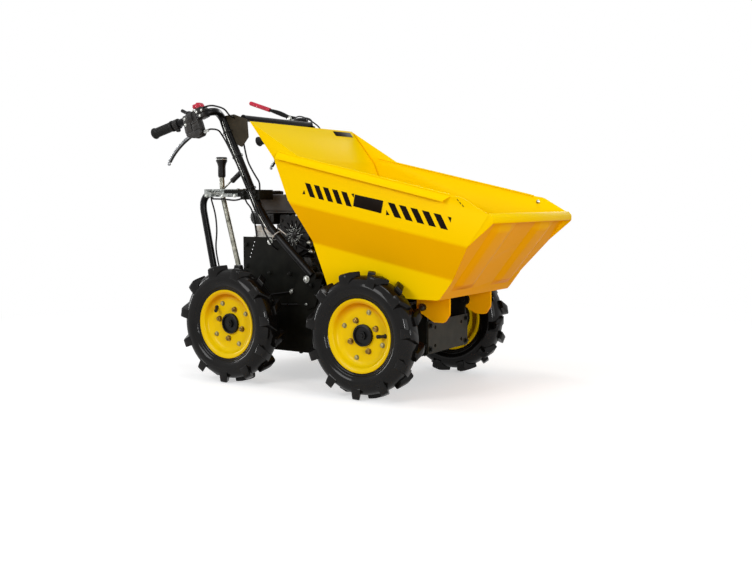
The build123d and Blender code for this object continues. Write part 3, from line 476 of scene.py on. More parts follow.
def swept(points, radius, sides=4, steps=10):
    """A round line that follows the points in one smooth curve."""
    data = bpy.data.curves.new("line", "CURVE")
    data.dimensions = "3D"
    data.bevel_depth, data.bevel_resolution, data.resolution_u = radius, sides, steps
    data.use_fill_caps = True
    spline = data.splines.new("NURBS")
    spline.points.add(len(points) - 1)
    for point, place in zip(spline.points, points):
        point.co = (*place, 1)
    spline.order_u, spline.use_endpoint_u = 3, True
    holder = bpy.data.objects.new("line", data)
    mesh = bpy.data.meshes.new_from_object(holder)
    shape = bmesh.new()
    shape.from_mesh(mesh)
    bpy.data.objects.remove(holder)
    bpy.data.curves.remove(data)
    bpy.data.meshes.remove(mesh)
    return close_up(shape)


def hexagon_nut(across, height, foot=0.0):
    """A nut or bolt head that stands along Y on its foot, its corners chamfered."""
    shape = bmesh.new()
    radius = across / math.sqrt(3)
    bmesh.ops.create_cone(shape, cap_ends=True, segments=6, radius1=radius, radius2=radius,
                          depth=height)
    round_off(shape, shape.edges[:], 0.08 * across)
    lay = Matrix.Rotation(math.radians(-90), 4, "X")
    return moved(shape, Matrix.Translation((0, foot, 0)) @ lay
                 @ Matrix.Translation((0, 0, height / 2)))


def bolt(place, toward, across=13, washer=1.8, height=6.5):
    """A hexagon bolt's head on its washer, standing on a point and facing a direction."""
    flange = across * 0.86
    ring = lathe([(0, 0), (flange, 0), (flange, washer), (0, washer)], steps=24)
    head = hexagon_nut(across, height, washer)
    return moved(joined(ring, head), turn_to(place, (0, 1, 0), toward))


def bolts(places, toward, *size):
    """Equal bolts that face the same way."""
    return [bolt(place, toward, *size) for place in places]


def weld(start, end, width=5):
    """A weld bead with its scales, half sunk in the corner it fills."""
    start, end = Vector(start), Vector(end)
    count = max(3, round((end - start).length / 3.5))
    step = (end - start).length / count
    profile = [(0, 0)]
    for i in range(count):
        profile += [(width * 0.42, step * (i + 0.06)), (width * 0.55, step * (i + 0.55)),
                    (width * 0.46, step * (i + 0.9))]
    return lathe(profile + [(0, step * count)], start, end - start, 8)


SHEET_FOLD, SHEET_EDGE = 6.0, 0.7       # radii


def eased_copy(node):
    """A node's mesh in millimetres, with its folds rounded and its sheets' edges eased."""
    shape = bmesh.new()
    shape.from_mesh(frame["nodes"][node].data)
    moved(shape, DRAWING.inverted())
    bmesh.ops.remove_doubles(shape, verts=shape.verts, dist=0.02)
    bmesh.ops.dissolve_limit(shape, angle_limit=math.radians(1), verts=shape.verts,
                             edges=shape.edges)
    ease(shape, SHEET_FOLD, 6, 50, 4)
    return ease(shape, SHEET_EDGE, 60, segments=1)


# ------------------------------------------------------------------ the wheels
TYRE_R = 203
LUGS_A_SIDE = 11
LUG_SLANT = math.radians(7.5)
LUG_W, LUG_FLARE = 27, 0.55
LUG_ROOT_R = 163        # inside this the lug is sunk in the sidewall
LUG_TIP_Y = 44          # where the slant is full
LUG_EDGE = 2.2
DISC_Y = 3.4            # the rim disc's outer face
REAR_ROLL = -222        # degrees by which the rear wheels' fixings stand turned


def tyre_casing():
    """The tyre without its lugs: bead, ribbed sidewalls and crown, closed by its inner wall."""
    side = [(104, 17), (106, 24), (112, 27.2), (119, 28), (121, 31), (124, 33.5), (126, 33.5),
            (128, 37), (131, 39), (133, 39), (136, 42), (144, 45), (153, 46.2), (162, 45.3),
            (170, 42.4), (177, 37.6), (183, 30.5), (187, 22), (189.4, 12)]
    inner = [(186, 0), (183, 18), (172, 32), (154, 36), (132, 29), (108, 13)]
    ring = side + [(190, 0)] + other_half(side)
    back = other_half(inner) + inner[1:]
    return about_axle(ring + back + side[:1], 88)


def other_half(profile):
    """A profile of (radius, across) points on the other side of the wheel, run backwards."""
    return [(r, -y) for r, y in reversed(profile)]


def about_axle(profile, steps):
    """Spin (radius, across) points about the axle; a closed profile repeats its first point."""
    return spun([(r, y, 0) for r, y in profile], (0, 1, 0), steps)


def tyre_lug(sign):
    """One lug from the crown over the shoulder and down the sidewall, wider at its foot."""
    section = [(1, 184), (1, 203), (30, 203), (41, 201.5), (45.5, 197), (46.8, 186),
               (46.4, 166), (43, 160), (34, 170)]
    shape = bmesh.new()
    shape.faces.new([shape.verts.new((-LUG_W / 2, y, r)) for y, r in section])
    thicken(shape, (LUG_W, 0, 0))
    outer = [e for e in shape.edges
             if all(v.co.z > LUG_ROOT_R and not (v.co.y < 40 and v.co.z < 187) for v in e.verts)]
    # In metres, because the bevel's own tolerances are lengths, which shape these corners.
    moved(shape, Matrix.Scale(MM, 4))
    round_off(shape, outer, LUG_EDGE * MM)
    moved(shape, Matrix.Scale(1 / MM, 4))
    for v in shape.verts:
        foot = max(0.0, (TYRE_R - v.co.z) / 40)
        width = v.co.x * (1 + LUG_FLARE * foot)
        turn = width / TYRE_R + LUG_SLANT * min(v.co.y / LUG_TIP_Y, 1.0)
        v.co = Vector((math.sin(turn) * v.co.z, sign * v.co.y, math.cos(turn) * v.co.z))
    if sign < 0:
        bmesh.ops.reverse_faces(shape, faces=shape.faces)
    return shape


def tyre_shape():
    """Casing and lugs; the two sides' lugs are staggered by half a pitch."""
    shapes = [tyre_casing()]
    pitch = 2 * math.pi / LUGS_A_SIDE
    for sign in (1, -1):
        for i in range(LUGS_A_SIDE):
            turn = Matrix.Rotation(pitch * (i + 0.25 * sign), 4, "Y")
            shapes.append(moved(tyre_lug(sign), turn))
    return joined(*shapes)


def rim_shape():
    """A pressed rim: rolled lips, ledges, dished walls and a flat disc, 3 mm thick."""
    outer = [(118, 27.5), (119, 29), (118.4, 30.6), (116, 31), (112, 30.2), (108, 28.4),
             (104.6, 26.6), (102.8, 24.6), (101.6, 21.6), (100.6, 17.4), (98.8, 13), (96, 9.6),
             (92.4, 6.8), (88, 4.6), (83, 3.4), (77, 3), (58, 3), (35.6, 3)]
    bed = [(115, 26.4), (106, 24.6), (104, 23), (103.2, 14), (100, 9.5), (94, 6.2), (92.4, 3)]
    front = bed[::-1] + outer
    return about_axle(front + other_half(front) + front[:1], 96)


def around_hub(shape, radius, angle):
    """Move a fixing to the disc's face, clockwise from the top as seen from outside."""
    turn = Matrix.Rotation(math.radians(-angle), 4, "Y")
    return moved(shape, turn @ Matrix.Translation((0, DISC_Y, radius)))


def flat_washer(radius, height):
    """A flat washer that lies on the disc."""
    return about_axle([(0, 0), (radius, 0), (radius, height), (0, height)], 24)


def wheel_studs():
    """Four stud nuts on washers, with the studs' ends in them."""
    studs = []
    for angle in (63, 158, 245, 329):
        end = about_axle([(0, 9.6), (4.4, 9.6), (4.4, 13), (3.6, 14), (0, 14)], 20)
        stud = joined(flat_washer(10, 1.6), hexagon_nut(15, 8, 1.6), end)
        studs.append(around_hub(stud, 53, angle))
    return joined(*studs)


def clamp_bolts():
    """Four bolts that clamp the rim's halves."""
    heads = []
    for angle in (16, 110, 199, 290):
        head = joined(flat_washer(8.5, 1.2), hexagon_nut(12, 5, 1.2))
        heads.append(around_hub(head, 77, angle))
    return joined(*heads)


def valve_shape():
    """A rubber valve stem with its cap, leaning out of the disc near the well."""
    stem = about_axle([(0, -2), (7.5, -2), (7.5, 2), (5.2, 5), (4.8, 16), (0, 16)], 20)
    cap = about_axle([(0, 16), (6, 16), (6, 27), (4.4, 29), (0, 29)], 20)
    lean = Matrix.Rotation(math.radians(-38), 4, "X")
    return around_hub(moved(joined(stem, cap), lean), 82, 88)


def build_wheels():
    """Dress the four wheels; the right ones are turned round."""
    for corner in CORNERS:
        body = f"wheel_{corner}"
        centre = JOINTS[f"wheel_{corner}_spin"]
        flip = Matrix.Rotation(math.pi if centre.y < 0 else 0, 4, "Z")
        place = Matrix.Translation(centre) @ flip @ Matrix.Scale(MM, 4)
        roll = 0 if "front" in corner else REAR_ROLL
        rolled = place @ Matrix.Rotation(math.radians(roll), 4, "Y")
        tyre = piece(f"tread_{corner}", moved(tyre_shape(), place), "tyre_rubber", body,
                     sharp=40)
        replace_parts(tyre, f"tyre_{corner}")
        rim = piece(f"dish_{corner}", moved(rim_shape(), place), "rim_enamel", body, sharp=50)
        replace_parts(rim, f"rim_{corner}")
        piece(f"studs_{corner}", moved(wheel_studs(), rolled), "brass_zinc", body)
        piece(f"clamp_bolts_{corner}", moved(clamp_bolts(), rolled), "pale_zinc", body)
        piece(f"valve_{corner}", moved(valve_shape(), rolled), "black_plastic", body)


# -------------------------------------------------------------------- the skip
SKIP_SLOPE = -0.197             # of the side's lines, down toward the front
BAR_HEIGHT = 45.5
MARK_FACE = -SKIP_HALF_W - 0.1  # where what is stuck on the side begins
FRONT_FOOT, FRONT_TOP = Vector((792, 0, 322)), Vector((991, 0, 585))
RIB_RUN, RIB_RISE = 330, 9.0
HINGE_X, HINGE_Z = 681, 286


def hazard_bars(x, z, pitch, width, lean, count=5):
    """A row of slanting black bars along the side sheet's slope."""
    bars = []
    for i in range(count):
        left, top = x + pitch * i, z + SKIP_SLOPE * pitch * i
        right_top = top + SKIP_SLOPE * width
        bars.append([(left, top), (left + width, right_top),
                     (left + width + lean, right_top - BAR_HEIGHT),
                     (left + lean, top - BAR_HEIGHT)])
    return bars


def side_marks():
    """The black bars, the short ends that frame them, and the bare plate between the rows."""
    outlines = hazard_bars(325, 685.4, 35.8, 21, 20) + hazard_bars(643, 622.8, 40.5, 24.5, 25)
    outlines += [[(322, 662), (326, 648), (314, 648)], [(507, 649), (518, 649), (516, 637)],
                 [(638, 599), (650, 583), (637, 583)], [(853, 581), (866, 578), (863, 563)]]
    film = joined(*[slab(outline, MARK_FACE, MARK_FACE - 0.35, 0) for outline in outlines])
    fitting("hazard_bars", both(film), "black_vinyl", "skip")
    plate = slab([(521, 647), (627, 627), (619, 588), (514, 610)], MARK_FACE, MARK_FACE - 1.0,
                 0.4, 2.5)
    fitting("side_plates_blank", both(plate), "black_vinyl", "skip")
    label = block(-0.5, 0.5, 163, 276, -11.5, 11.5, 0.3)
    lean = Matrix.Rotation(-math.atan2(103, 126), 4, "Y")
    label = moved(label, Matrix.Translation((111.5, 0, 877)) @ lean)
    fitting("back_label_blank", label, "black_vinyl", "skip")


def front_rib():
    """A shallow rib pressed up the front wall, which fades out at both ends."""
    along = (FRONT_TOP - FRONT_FOOT).normalized()
    outward = Vector((along.z, 0, -along.x))
    shape = bmesh.new()
    rows = []
    for share, rise in ((0.1, 0.0), (0.17, 1.0), (0.82, 1.0), (0.915, 0.0)):
        widen = 0.9 + 0.1 * share
        row = []
        for y, lift in ((-226, 0), (-190, 1), (-112, 1), (-72, 0)):
            place = FRONT_FOOT + along * (RIB_RUN * share)
            place += outward * (0.15 + RIB_RISE * lift * rise) + Vector((0, y * widen, 0))
            row.append(shape.verts.new(place))
        rows.append(row)
    for low, high in zip(rows, rows[1:]):
        for i in range(3):
            shape.faces.new((low[i], low[i + 1], high[i + 1], high[i]))
    bmesh.ops.recalc_face_normals(shape, faces=shape.faces)
    if shape.faces[:][0].normal.dot(outward) < 0:
        bmesh.ops.reverse_faces(shape, faces=shape.faces)
    return ease(shape, 7.0, 3, 90, 4)


def lip_rolls():
    """The front wall's box lip and its end caps, and the folded top of each side's rail."""
    section = [(983, 585), (986, 589.4), (990, 590.6), (993.5, 588.6), (999.6, 579.5),
               (1001, 576.5), (1001.4, 562.5), (1000.4, 560.4), (998.6, 560.4)]
    lip = slab(section, -299.4, 299.4)
    cap = slab([(921, 492.5), (983.5, 585.8), (990, 590.8), (999.6, 580), (1001.4, 576),
                (1001.4, 562), (997, 556)], -SKIP_HALF_W, -SKIP_HALF_W + 3, 0.6)
    rails = []
    for sign in SIDES:
        y = sign * (SKIP_HALF_W - 1.2)
        line = [(218, 787.2), (301, 767.6), (330, 761.2), (800, 657.4), (861, 643)]
        rails.append(swept([(x, y, z) for x, z in line], 3.4, 3, 4))
    return joined(lip, both(cap), *rails)


def side_rivet():
    """A rivet's dome inside the right wall, near the nose."""
    return lathe([(0, 0), (7, 0), (7, 1.2), (5.4, 3.2), (2.6, 4.4), (0, 4.7)],
                 (879, -SKIP_HALF_W + 3, 623))


def drain_slots():
    """Three short slots on the right wall's outside, stepping down forward of the rivet: black film as
    painted shade in their openings.
    """
    slots = []
    for x, z in ((887, 629), (895, 620.5), (904, 612.5)):
        outline = [(x - 3.6, z + 2.8), (x - 1.4, z + 3.6), (x + 3.6, z - 2.6),
                   (x + 1.4, z - 3.6)]
        slots.append(slab(outline, MARK_FACE, MARK_FACE - 0.4, 0))
    return joined(*slots)


def build_skip():
    """Round the skip's folds, roll its edges and add its marks."""
    for node in NODE_FINISHES["skip_enamel"]:
        sheet = fitting(node.replace("skip", "tub"), eased_copy(node), "skip_enamel", "skip",
                        sharp=30)
        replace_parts(sheet, node)
    side_marks()
    fitting("front_wall_ribs", both(front_rib()), "skip_enamel", "skip", sharp=40)
    fitting("lip_rolls", lip_rolls(), "skip_enamel", "skip", sharp=40)
    fitting("side_rivets", both(side_rivet()), "bright_zinc", "skip")
    # The slots are black film on the wall: painted shade for their openings.
    fitting("drain_slots", both(drain_slots()), "black_vinyl", "skip")
    beads = [weld((705, y, 321.4), (770, y, 321.4)) for y in (-141.5, -149.5)]
    fitting("hinge_welds", both(joined(*beads)), "skip_enamel", "skip", sharp=TUBE_SHARP)
    pin = bolt((HINGE_X, -155.4, HINGE_Z), (0, -1, 0), 14, 1.6, 5)
    fitting("hinge_pin_bolts", both(pin), "yellow_zinc")


# --------------------------------------------------------------- the handlebar
GRIP_Y = 290
GRIP_END, GRIP_CORNER = Vector((-356, -GRIP_Y, 869)), Vector((-88, -GRIP_Y, 939))
GRIP_RUN = (GRIP_CORNER - GRIP_END).normalized()
GRIP_UP = Vector((-GRIP_RUN.z, 0, GRIP_RUN.x))
UPRIGHT_Y = 204
UPRIGHT_RUN = (-0.455, 0, 0.89)
RIGHT = (0, -1, 0)


def on_grip(along, above, y=-GRIP_Y):
    """The point so far along the right grip's bar from its end, and so far above its middle."""
    return GRIP_END + GRIP_RUN * along + GRIP_UP * above + Vector((0, y + GRIP_Y, 0))


def grip_line(points, y=-GRIP_Y):
    """The points of a line that is given along and above the grip's bar."""
    return [on_grip(along, above, y) for along, above in points]


def grip_slab(outline, y0, y1, soft=0.8, corner=0.0):
    """A slab whose outline is drawn along and above the grip's bar."""
    return slab([(p.x, p.z) for p in grip_line(outline)], y0, y1, soft, corner)


def ribbed_grip():
    """A soft grip: flanged end, fine ribs, a wider inner flange; closed over the bar's end."""
    profile = [(0, -9), (13, -9), (18, -7.6), (20.2, -5), (20.2, -1.5), (18, 1)]
    for i in range(15):
        start = 3 + 5.2 * i
        profile += [(16.0, start), (17.3, start + 0.7), (17.3, start + 3.6), (16.0, start + 4.3)]
    profile += [(17, 82.5), (19.4, 84), (19.8, 86), (19.8, 90), (18, 92), (13.8, 92), (13.8, 1),
                (0, 1)]
    return lathe(profile, on_grip(0, 0), GRIP_RUN, 36)


def bar_collar():
    """The ringed collar inside the grip, with the ear that its cable clips to."""
    ring = lathe([(13.6, 0), (17, 0), (18.6, 1.6), (18.6, 9), (17.6, 10), (18.6, 11),
                  (18.6, 19), (17, 21), (13.6, 21), (13.6, 0)], on_grip(99, 0), GRIP_RUN, 32)
    ear = [(102, -15), (116, -15), (116, -25), (111, -27.5), (105, -27.5), (102, -24)]
    return joined(ring, grip_slab(ear, -296, -284, 1, 1.5))


def perch_casting():
    """The lever's casting: two cheeks round its slot, a ribbed body and a clamp on the bar."""
    rear = [(153, 14), (183, 14), (184, -52), (155, -54), (151, -46), (151, -8)]
    front = [(186.5, 14), (212, 14), (218, -18), (221.5, -52), (186.5, -52)]
    web = [(180, 8), (190, 8), (190, -50), (180, -50)]
    cheek = [(154, -50), (220, -50), (221.5, -66), (214, -73), (184, -74), (160, -64),
             (153, -57)]
    clamp = [(13.7, 0), (20.5, 0), (21.5, 1.5), (21.5, 26), (20.5, 27.5), (13.7, 27.5),
             (13.7, 0)]
    parts = [grip_slab(rear, -305, -273, 2.6, 4), grip_slab(front, -304, -274, 2.6, 4),
             grip_slab(web, -301, -277, 1), grip_slab(cheek, -305, -293.6, 2, 3),
             grip_slab(cheek, -282.4, -273, 2, 3), lathe(clamp, on_grip(170, 0), GRIP_RUN, 32)]
    for h in (-20, -32, -44):
        rib = [(190, h), (214, h), (214, h - 5), (190, h - 5)]
        parts.append(grip_slab(rib, -305.6, -303, 1))
    return joined(*parts)


def perch_screws():
    """Screws of the clamp and the lever's pivot, and the cable's adjuster."""
    heads = bolts(grip_line(((162, 2), (161, -19)), -305), RIGHT, 6, 0.6, 2.6)
    heads.append(bolt(on_grip(196, 20), GRIP_UP, 8, 1, 5))
    heads.append(rod(on_grip(221, -61, -286), on_grip(243, -62, -286), 4.6))
    heads.append(lathe([(0, 0), (6.4, 0), (6.4, 6), (0, 6)], on_grip(226, -61.2, -286),
                       GRIP_RUN, 6))
    return joined(*heads)


def brake_lever():
    """The right brake lever's pressed blade with its ball, and a dark strip under it: painted dark reflection
    on the blade's lower edge.
    """
    path = [(203, -62), (158, -59), (126, -67), (86, -84), (56, -101), (34, -119)]
    blade = swept(grip_line([(s - 0.6, h + 1.6) for s, h in path], -288), 5.6, 4, 8)
    ball = lathe([(0, -6.6), (3.4, -5.8), (5.9, -3.2), (6.8, 0), (5.9, 3.2), (3.4, 5.8),
                  (0, 6.6)], on_grip(31, -123, -288))
    lower = [(s + 1.6, h - 2.8) for s, h in path[1:-1] + [(38, -116)]]
    under = swept(grip_line(lower, -288), 4.2, 4, 8)
    return joined(blade, ball), under


def build_levers():
    """Both brake levers, with their grips, castings and screws, and the painted dark reflection under each
    blade.
    """
    grips = fitting("ribbed_grips", both(ribbed_grip()), "grip_rubber", sharp=45)
    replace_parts(grips, "grips")
    fitting("bar_collars", both(bar_collar()), "black_plastic")
    perches = fitting("perch_castings", both(perch_casting()), "grey_casting")
    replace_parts(perches, "lever_perches")
    fitting("perch_screws", both(perch_screws()), "bright_zinc")
    blade, under = brake_lever()
    levers = fitting("brake_blades", both(blade), "polished_aluminium", sharp=TUBE_SHARP)
    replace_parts(levers, "brake_levers")
    # A black strip under each blade: painted dark reflection.
    fitting("brake_blade_dark_reflection", both(under), "black_plastic",
            sharp=TUBE_SHARP)


def build_switches():
    """The switch box's two halves on the bar, their screws, the red rocker and the throttle."""
    upper = [(219, 1), (219, 17), (223, 21), (248, 21), (254, 12), (254, 1)]
    lower = [(219, 0), (254, 0), (252, -15), (222, -17)]
    neck = [(212, 16), (212, 27), (244, 24), (246, 16)]
    box = joined(grip_slab(upper, -307.5, -272.5, 2, 2), grip_slab(lower, -307.5, -272.5, 2, 2),
                 grip_slab(neck, -296, -284, 1))
    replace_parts(fitting("switch_halves", box, "black_plastic"), "switch_box")
    rear = [(203, 26), (202, 37), (207, 41), (218, 40), (222, 34), (221, 24)]
    front = [(219, 22), (219, 40), (224, 43), (238, 39), (244, 30), (245, 20)]
    red = joined(grip_slab(rear, -299, -281, 2.2, 2.5),
                 grip_slab(front, -299.5, -280.5, 2.2, 2.5))
    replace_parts(fitting("stop_rocker", red, "red_plastic"), "stop_switch")
    screws = bolts(grip_line(((224, 8), (248, 8), (236, -8)), -307.3), RIGHT, 5.5, 0.4, 1.4)
    fitting("switch_screws", joined(*screws), "bright_zinc")
    pivot = lathe([(0, 0), (9, 0), (10, 1), (10, 6), (8.5, 7.5), (0, 7.5)], on_grip(172, 19),
                  GRIP_UP, 24)
    thumb = swept(grip_line(((180, 15), (168, 21), (158, 29), (145, 39))), 6.2, 4, 6)
    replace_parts(fitting("throttle_thumb", joined(pivot, thumb), "black_plastic",
                        sharp=TUBE_SHARP), "throttle_lever")


def bar_tie(x, z, run):
    """A cable tie round the right upright and its cables, with its lock."""
    radius, wall = 18.6, 1.1
    y = -UPRIGHT_Y
    band = lathe([(radius, -1.5), (radius + wall, -1.5), (radius + wall, 1.5), (radius, 1.5),
                  (radius, -1.5)], (x, y, z), Vector(run).normalized(), 28)
    lock = block(x - 3, x + 3, y - radius - 4.4, y - radius - 0.2, z - 3.2, z + 3.2, 0.8)
    return joined(band, lock)


def strapped(sign, shift, out, radius, wave):
    """A sheathed line strapped along an upright: shifted forward, out, and slightly waved."""
    path = [(-104, 905), (-86, 858), (-62, 812), (-38, 765), (-12, 716), (12, 668), (36, 618),
            (60, 572), (90, 534)]
    return swept([(x + shift + wave * (-1) ** i, sign * (212 + out), z)
                  for i, (x, z) in enumerate(path)], radius, 3, 6)


def strapped_cables(sign):
    """The two sheathed cables strapped along one side's upright."""
    return joined(strapped(sign, 10, 4, 3, 0.8), strapped(sign, -6, 5, 3, -1.0))


def build_cables():
    """Ties, strapped cables, a bright wire between them that draws a painted highlight line, and the clutch
    cable's slack loop.
    """
    tail = slab([(139, 531), (141, 534.5), (177, 512), (175.5, 509)], -214, -212.5, 0.4)
    fitting("pale_ties", joined(bar_tie(128, 506, (0.748, 0, -0.663)), tail), "nylon_tie")
    dark = [bar_tie(x, z, UPRIGHT_RUN) for x, z in ((13, 668), (-45, 782), (-88, 866))]
    fitting("dark_ties", both(joined(*dark)), "black_plastic")
    fitting("strapped_cables", strapped_cables(-1), "cable_sheath", sharp=TUBE_SHARP)
    # A thin bright wire along the upright: a painted highlight line.
    fitting("strapped_tube", strapped(-1, 2, 6, 1.1, 0.3), "bright_zinc", sharp=TUBE_SHARP)
    fitting("strapped_cables_left", strapped_cables(1), "cable_sheath", sharp=TUBE_SHARP)
    loop = swept([(-174, 281, 948), (-152, 276, 962), (-108, 264, 955), (-57, 250, 935),
                  (-8, 238, 907), (14, 228, 868), (-4, 218, 820), (-36, 213, 770)], 2.8, 4, 6)
    fitting("clutch_cable_loop", loop, "cable_sheath", sharp=TUBE_SHARP)


def build_clutch():
    """Collars of the crossbar, and the clutch lever's blade, ribbed sleeve and pivot."""
    collars = [lathe([(0, 0), (11.5, 0), (12.5, 1.4), (12.5, 4), (0, 4)], (-25, sign * 192, 915),
                     (0, sign, 0), 24) for sign in SIDES]
    fitting("crossbar_collars", joined(*collars), "tube_coat")
    sleeve = [(0, 0), (8, 0), (9, 1.5)]
    for i in range(11):
        sleeve += [(8.2, 6 + 9 * i), (8.8, 7.5 + 9 * i), (8.8, 13 + 9 * i)]
    sleeve += [(8.4, 107), (6, 110.5), (0, 111)]
    start, end = grip_line(((86, 105.5), (-7, 164.5)), GRIP_Y)
    shape = lathe(sleeve, start, end - start)
    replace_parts(fitting("clutch_sleeve_ribbed", shape, "red_plastic", sharp=TUBE_SHARP),
                "clutch_lever_sleeve")
    blade = swept(grip_line(((180, 42), (156, 64), (122, 88), (90, 103)), GRIP_Y), 6.6, 4, 8)
    fitting("clutch_blade", blade, "tube_coat", sharp=TUBE_SHARP)
    pivot = [bolt(on_grip(184, 38, GRIP_Y + sign * 14), (0, sign, 0), 12, 1.2, 5)
             for sign in SIDES]
    fitting("clutch_pivot", joined(*pivot), "bright_zinc")


# -------------------------------------------------------------- the gear lever
KNOB_FOOT = (-187, -130, 711.2)
GATE_FACE = -170        # the gate plate's folded front
UP = (0, 0, 1)


def lever_knobs():
    """The gear lever's fluted knob and the hand lever's grip."""
    knob = [(0, 0), (11.6, 0), (12.6, 1.5), (12.8, 14), (13.2, 30), (14.2, 42), (16.8, 52),
            (19.6, 57), (20.6, 59.5), (20.6, 70), (19.8, 72.6), (17.6, 74), (15.4, 73.2),
            (14.6, 70.6), (9, 69), (0, 68.6)]
    hand = [(0, 0), (8, 0), (9.4, 2), (10, 6), (9.2, 12), (9.2, 50), (10.6, 62), (11, 70),
            (9.6, 75), (5, 77.4), (0, 77.6)]
    flutes = []
    for i in range(10):
        turn = Matrix.Translation(KNOB_FOOT) @ Matrix.Rotation(math.radians(36 * i), 4, "Z")
        flutes.append(moved(block(12.2, 13.8, -1.6, 1.6, 4, 40, 0.6), turn))
    return joined(lathe(knob, KNOB_FOOT, UP, 36),
                  lathe(hand, (-118.8, -152, 696.2), (61.8, 0, 45.6)), *flutes)


def build_gate():
    """The lever's knobs, and the gate's bolts, screws, slots drawn as painted shade, and spring wire."""
    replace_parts(fitting("lever_knobs", lever_knobs(), "black_plastic",
                        sharp=45), "lever_grips")
    ring = lathe([(20, -1.4), (21.1, -1), (21.3, 0), (21.1, 1), (20, 1.4), (20, -1.4)],
                 (-187, -130, 777), UP, 36)
    fitting("knob_ring", ring, "bright_zinc", sharp=TUBE_SHARP)
    heads = bolts(((-92, -150, 665.2), (-92, -116, 665.2)), UP, 10, 1, 4)
    heads += bolts([(x, -214.6, z) for x in (-8, 44) for z in (656, 639)], RIGHT, 11, 1.2, 5)
    fitting("gate_bolts", joined(*heads), "plate_coat")
    screws = bolts([(x, GATE_FACE, z) for x, z in ((-226, 645), (-150, 643), (-92, 643))],
                   RIGHT, 8, 1, 3)
    fitting("gate_screws", joined(*screws), "bright_zinc")
    # The gate's slots, drawn as thin black film: painted shade for their openings.
    cuts = []
    for x0, x1, top, height in ((-216, -204, 661, 2.6), (-196, -191, 661, 2.6),
                                (-182, -166, 661, 2.6), (-206, -160, 648, 2.4)):
        outline = [(x0, top), (x1, top), (x1, top - height), (x0, top - height)]
        cuts.append(slab(outline, GATE_FACE - 0.1, GATE_FACE - 0.7, 0.2))
    fitting("gate_slots", joined(*cuts), "black_vinyl")
    wire = swept([(-214, -171.4, 661), (-196, -171.8, 651), (-176, -171.4, 655),
                  (-158, -171.8, 649), (-140, -171.4, 651)], 1.2, 2, 5)
    fitting("gate_spring_wire", wire, "yellow_zinc", sharp=TUBE_SHARP)


# ------------------------------------------------------------------ the engine
COWL_X, COWL_Z = 152, 507
CAP_FOOT = (3.5, -62, 649.1)


def build_tank():
    """The tank's rounded shell with its seam, and its ribbed cap."""
    top = slab([(-56, 588), (-58, 606), (-27, 645), (-16, 649), (207, 649), (214, 642),
                (216, 588)], -112, 112, 7)
    seam = block(-61, 220, -117, 117, 583.4, 588.2, 1.4)
    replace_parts(fitting("tank_shell", joined(top, seam), "tank_enamel", sharp=40), "fuel_tank")
    cap = lathe([(0, 0), (30, 0), (32, 1.6), (32, 10), (30, 12.6), (22, 13.2), (20, 12),
                 (0, 12)], CAP_FOOT, UP, 48)
    bar = block(-20, 27, -66, -58, 660.6, 663, 1)
    ribs = []
    for i in range(24):
        turn = Matrix.Translation(CAP_FOOT) @ Matrix.Rotation(math.radians(15 * i), 4, "Z")
        ribs.append(moved(block(31.4, 33, -1.3, 1.3, 1.4, 10.6, 0.4), turn))
    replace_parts(fitting("tank_cap_ribbed", joined(cap, bar, *ribs), "black_plastic"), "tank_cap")


def build_air_cleaner():
    """The air cleaner's box with two grooves, and its clips."""
    cover = slab([(-64, 582), (-64, 556), (-52, 541), (30, 541), (45, 552), (45, 582)],
                 -118, -24, 4, 4)
    clips = [block(x0, x1, -121.4, -117, foot, 574, 1.4)
             for x0, x1, foot in ((-20, -8, 548), (22, 30, 552))]
    grooves = [slab([(-66, z), (47, z), (47, z - 2), (-66, z - 2)], -119, -30, 0.6)
               for z in (572, 566)]
    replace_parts(fitting("air_cleaner_box", joined(cover, *clips, *grooves), "black_plastic"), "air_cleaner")


def cowl_louvres(count=30):
    """The starter cowl's bright louvres: short radial bars in three rings round its hub."""
    bars = []
    for i in range(count):
        low, high = ((13, 24), (28, 39), (17, 31))[i % 3]
        turn = Matrix.Rotation(2 * math.pi * i / count, 4, "Y")
        bars.append(moved(block(-0.55, 0.55, -140.2, -138, low, high, 0.25),
                          Matrix.Translation((COWL_X, 0, COWL_Z)) @ turn))
    return joined(*bars)


def build_cowl():
    """The starter cowl's louvres, hub, rim and pull guide, and the engine's bolts."""
    fitting("cowl_louvres", cowl_louvres(), "bright_zinc")
    hub = lathe([(0, 0), (12, 0), (12, 2), (9, 4), (0, 4)], (COWL_X, -138.2, COWL_Z), RIGHT)
    guide = [block(86, 102, -137, -118, 520, 538, 2.5), block(70, 96, -134, -124, 534, 543, 3)]
    rim = lathe([(60, 0), (64, 0), (65, 2), (64, 5), (60, 5), (60, 0)],
                (COWL_X, -133, COWL_Z), RIGHT, 56)
    fitting("cowl_hub", joined(hub, *guide, rim), "black_plastic")
    turns = [math.radians(30 + 60 * i) for i in range(6)]
    heads = bolts([(COWL_X + 68 * math.cos(a), -120.2, COWL_Z + 68 * math.sin(a))
                   for a in turns], RIGHT, 8, 0.8, 4)
    heads += [bolt((62, -160.2, 483), RIGHT, 13, 1.8, 6), bolt((226, -166, 357), RIGHT, 14.5, 2, 8)]
    fitting("engine_bolts", joined(*heads), "bright_zinc")


def coil_spring(start, end, radius, turns):
    """A close-wound spring between two points."""
    start, end = Vector(start), Vector(end)
    step = (end - start).length / turns
    core = radius - 1.4
    profile = [(0, 0)]
    for i in range(turns):
        profile += [(core, step * i + 0.2), (radius, step * (i + 0.3)),
                    (radius, step * (i + 0.7)), (core, step * (i + 0.98))]
    return lathe(profile + [(0, step * turns)], start, end - start, 14)


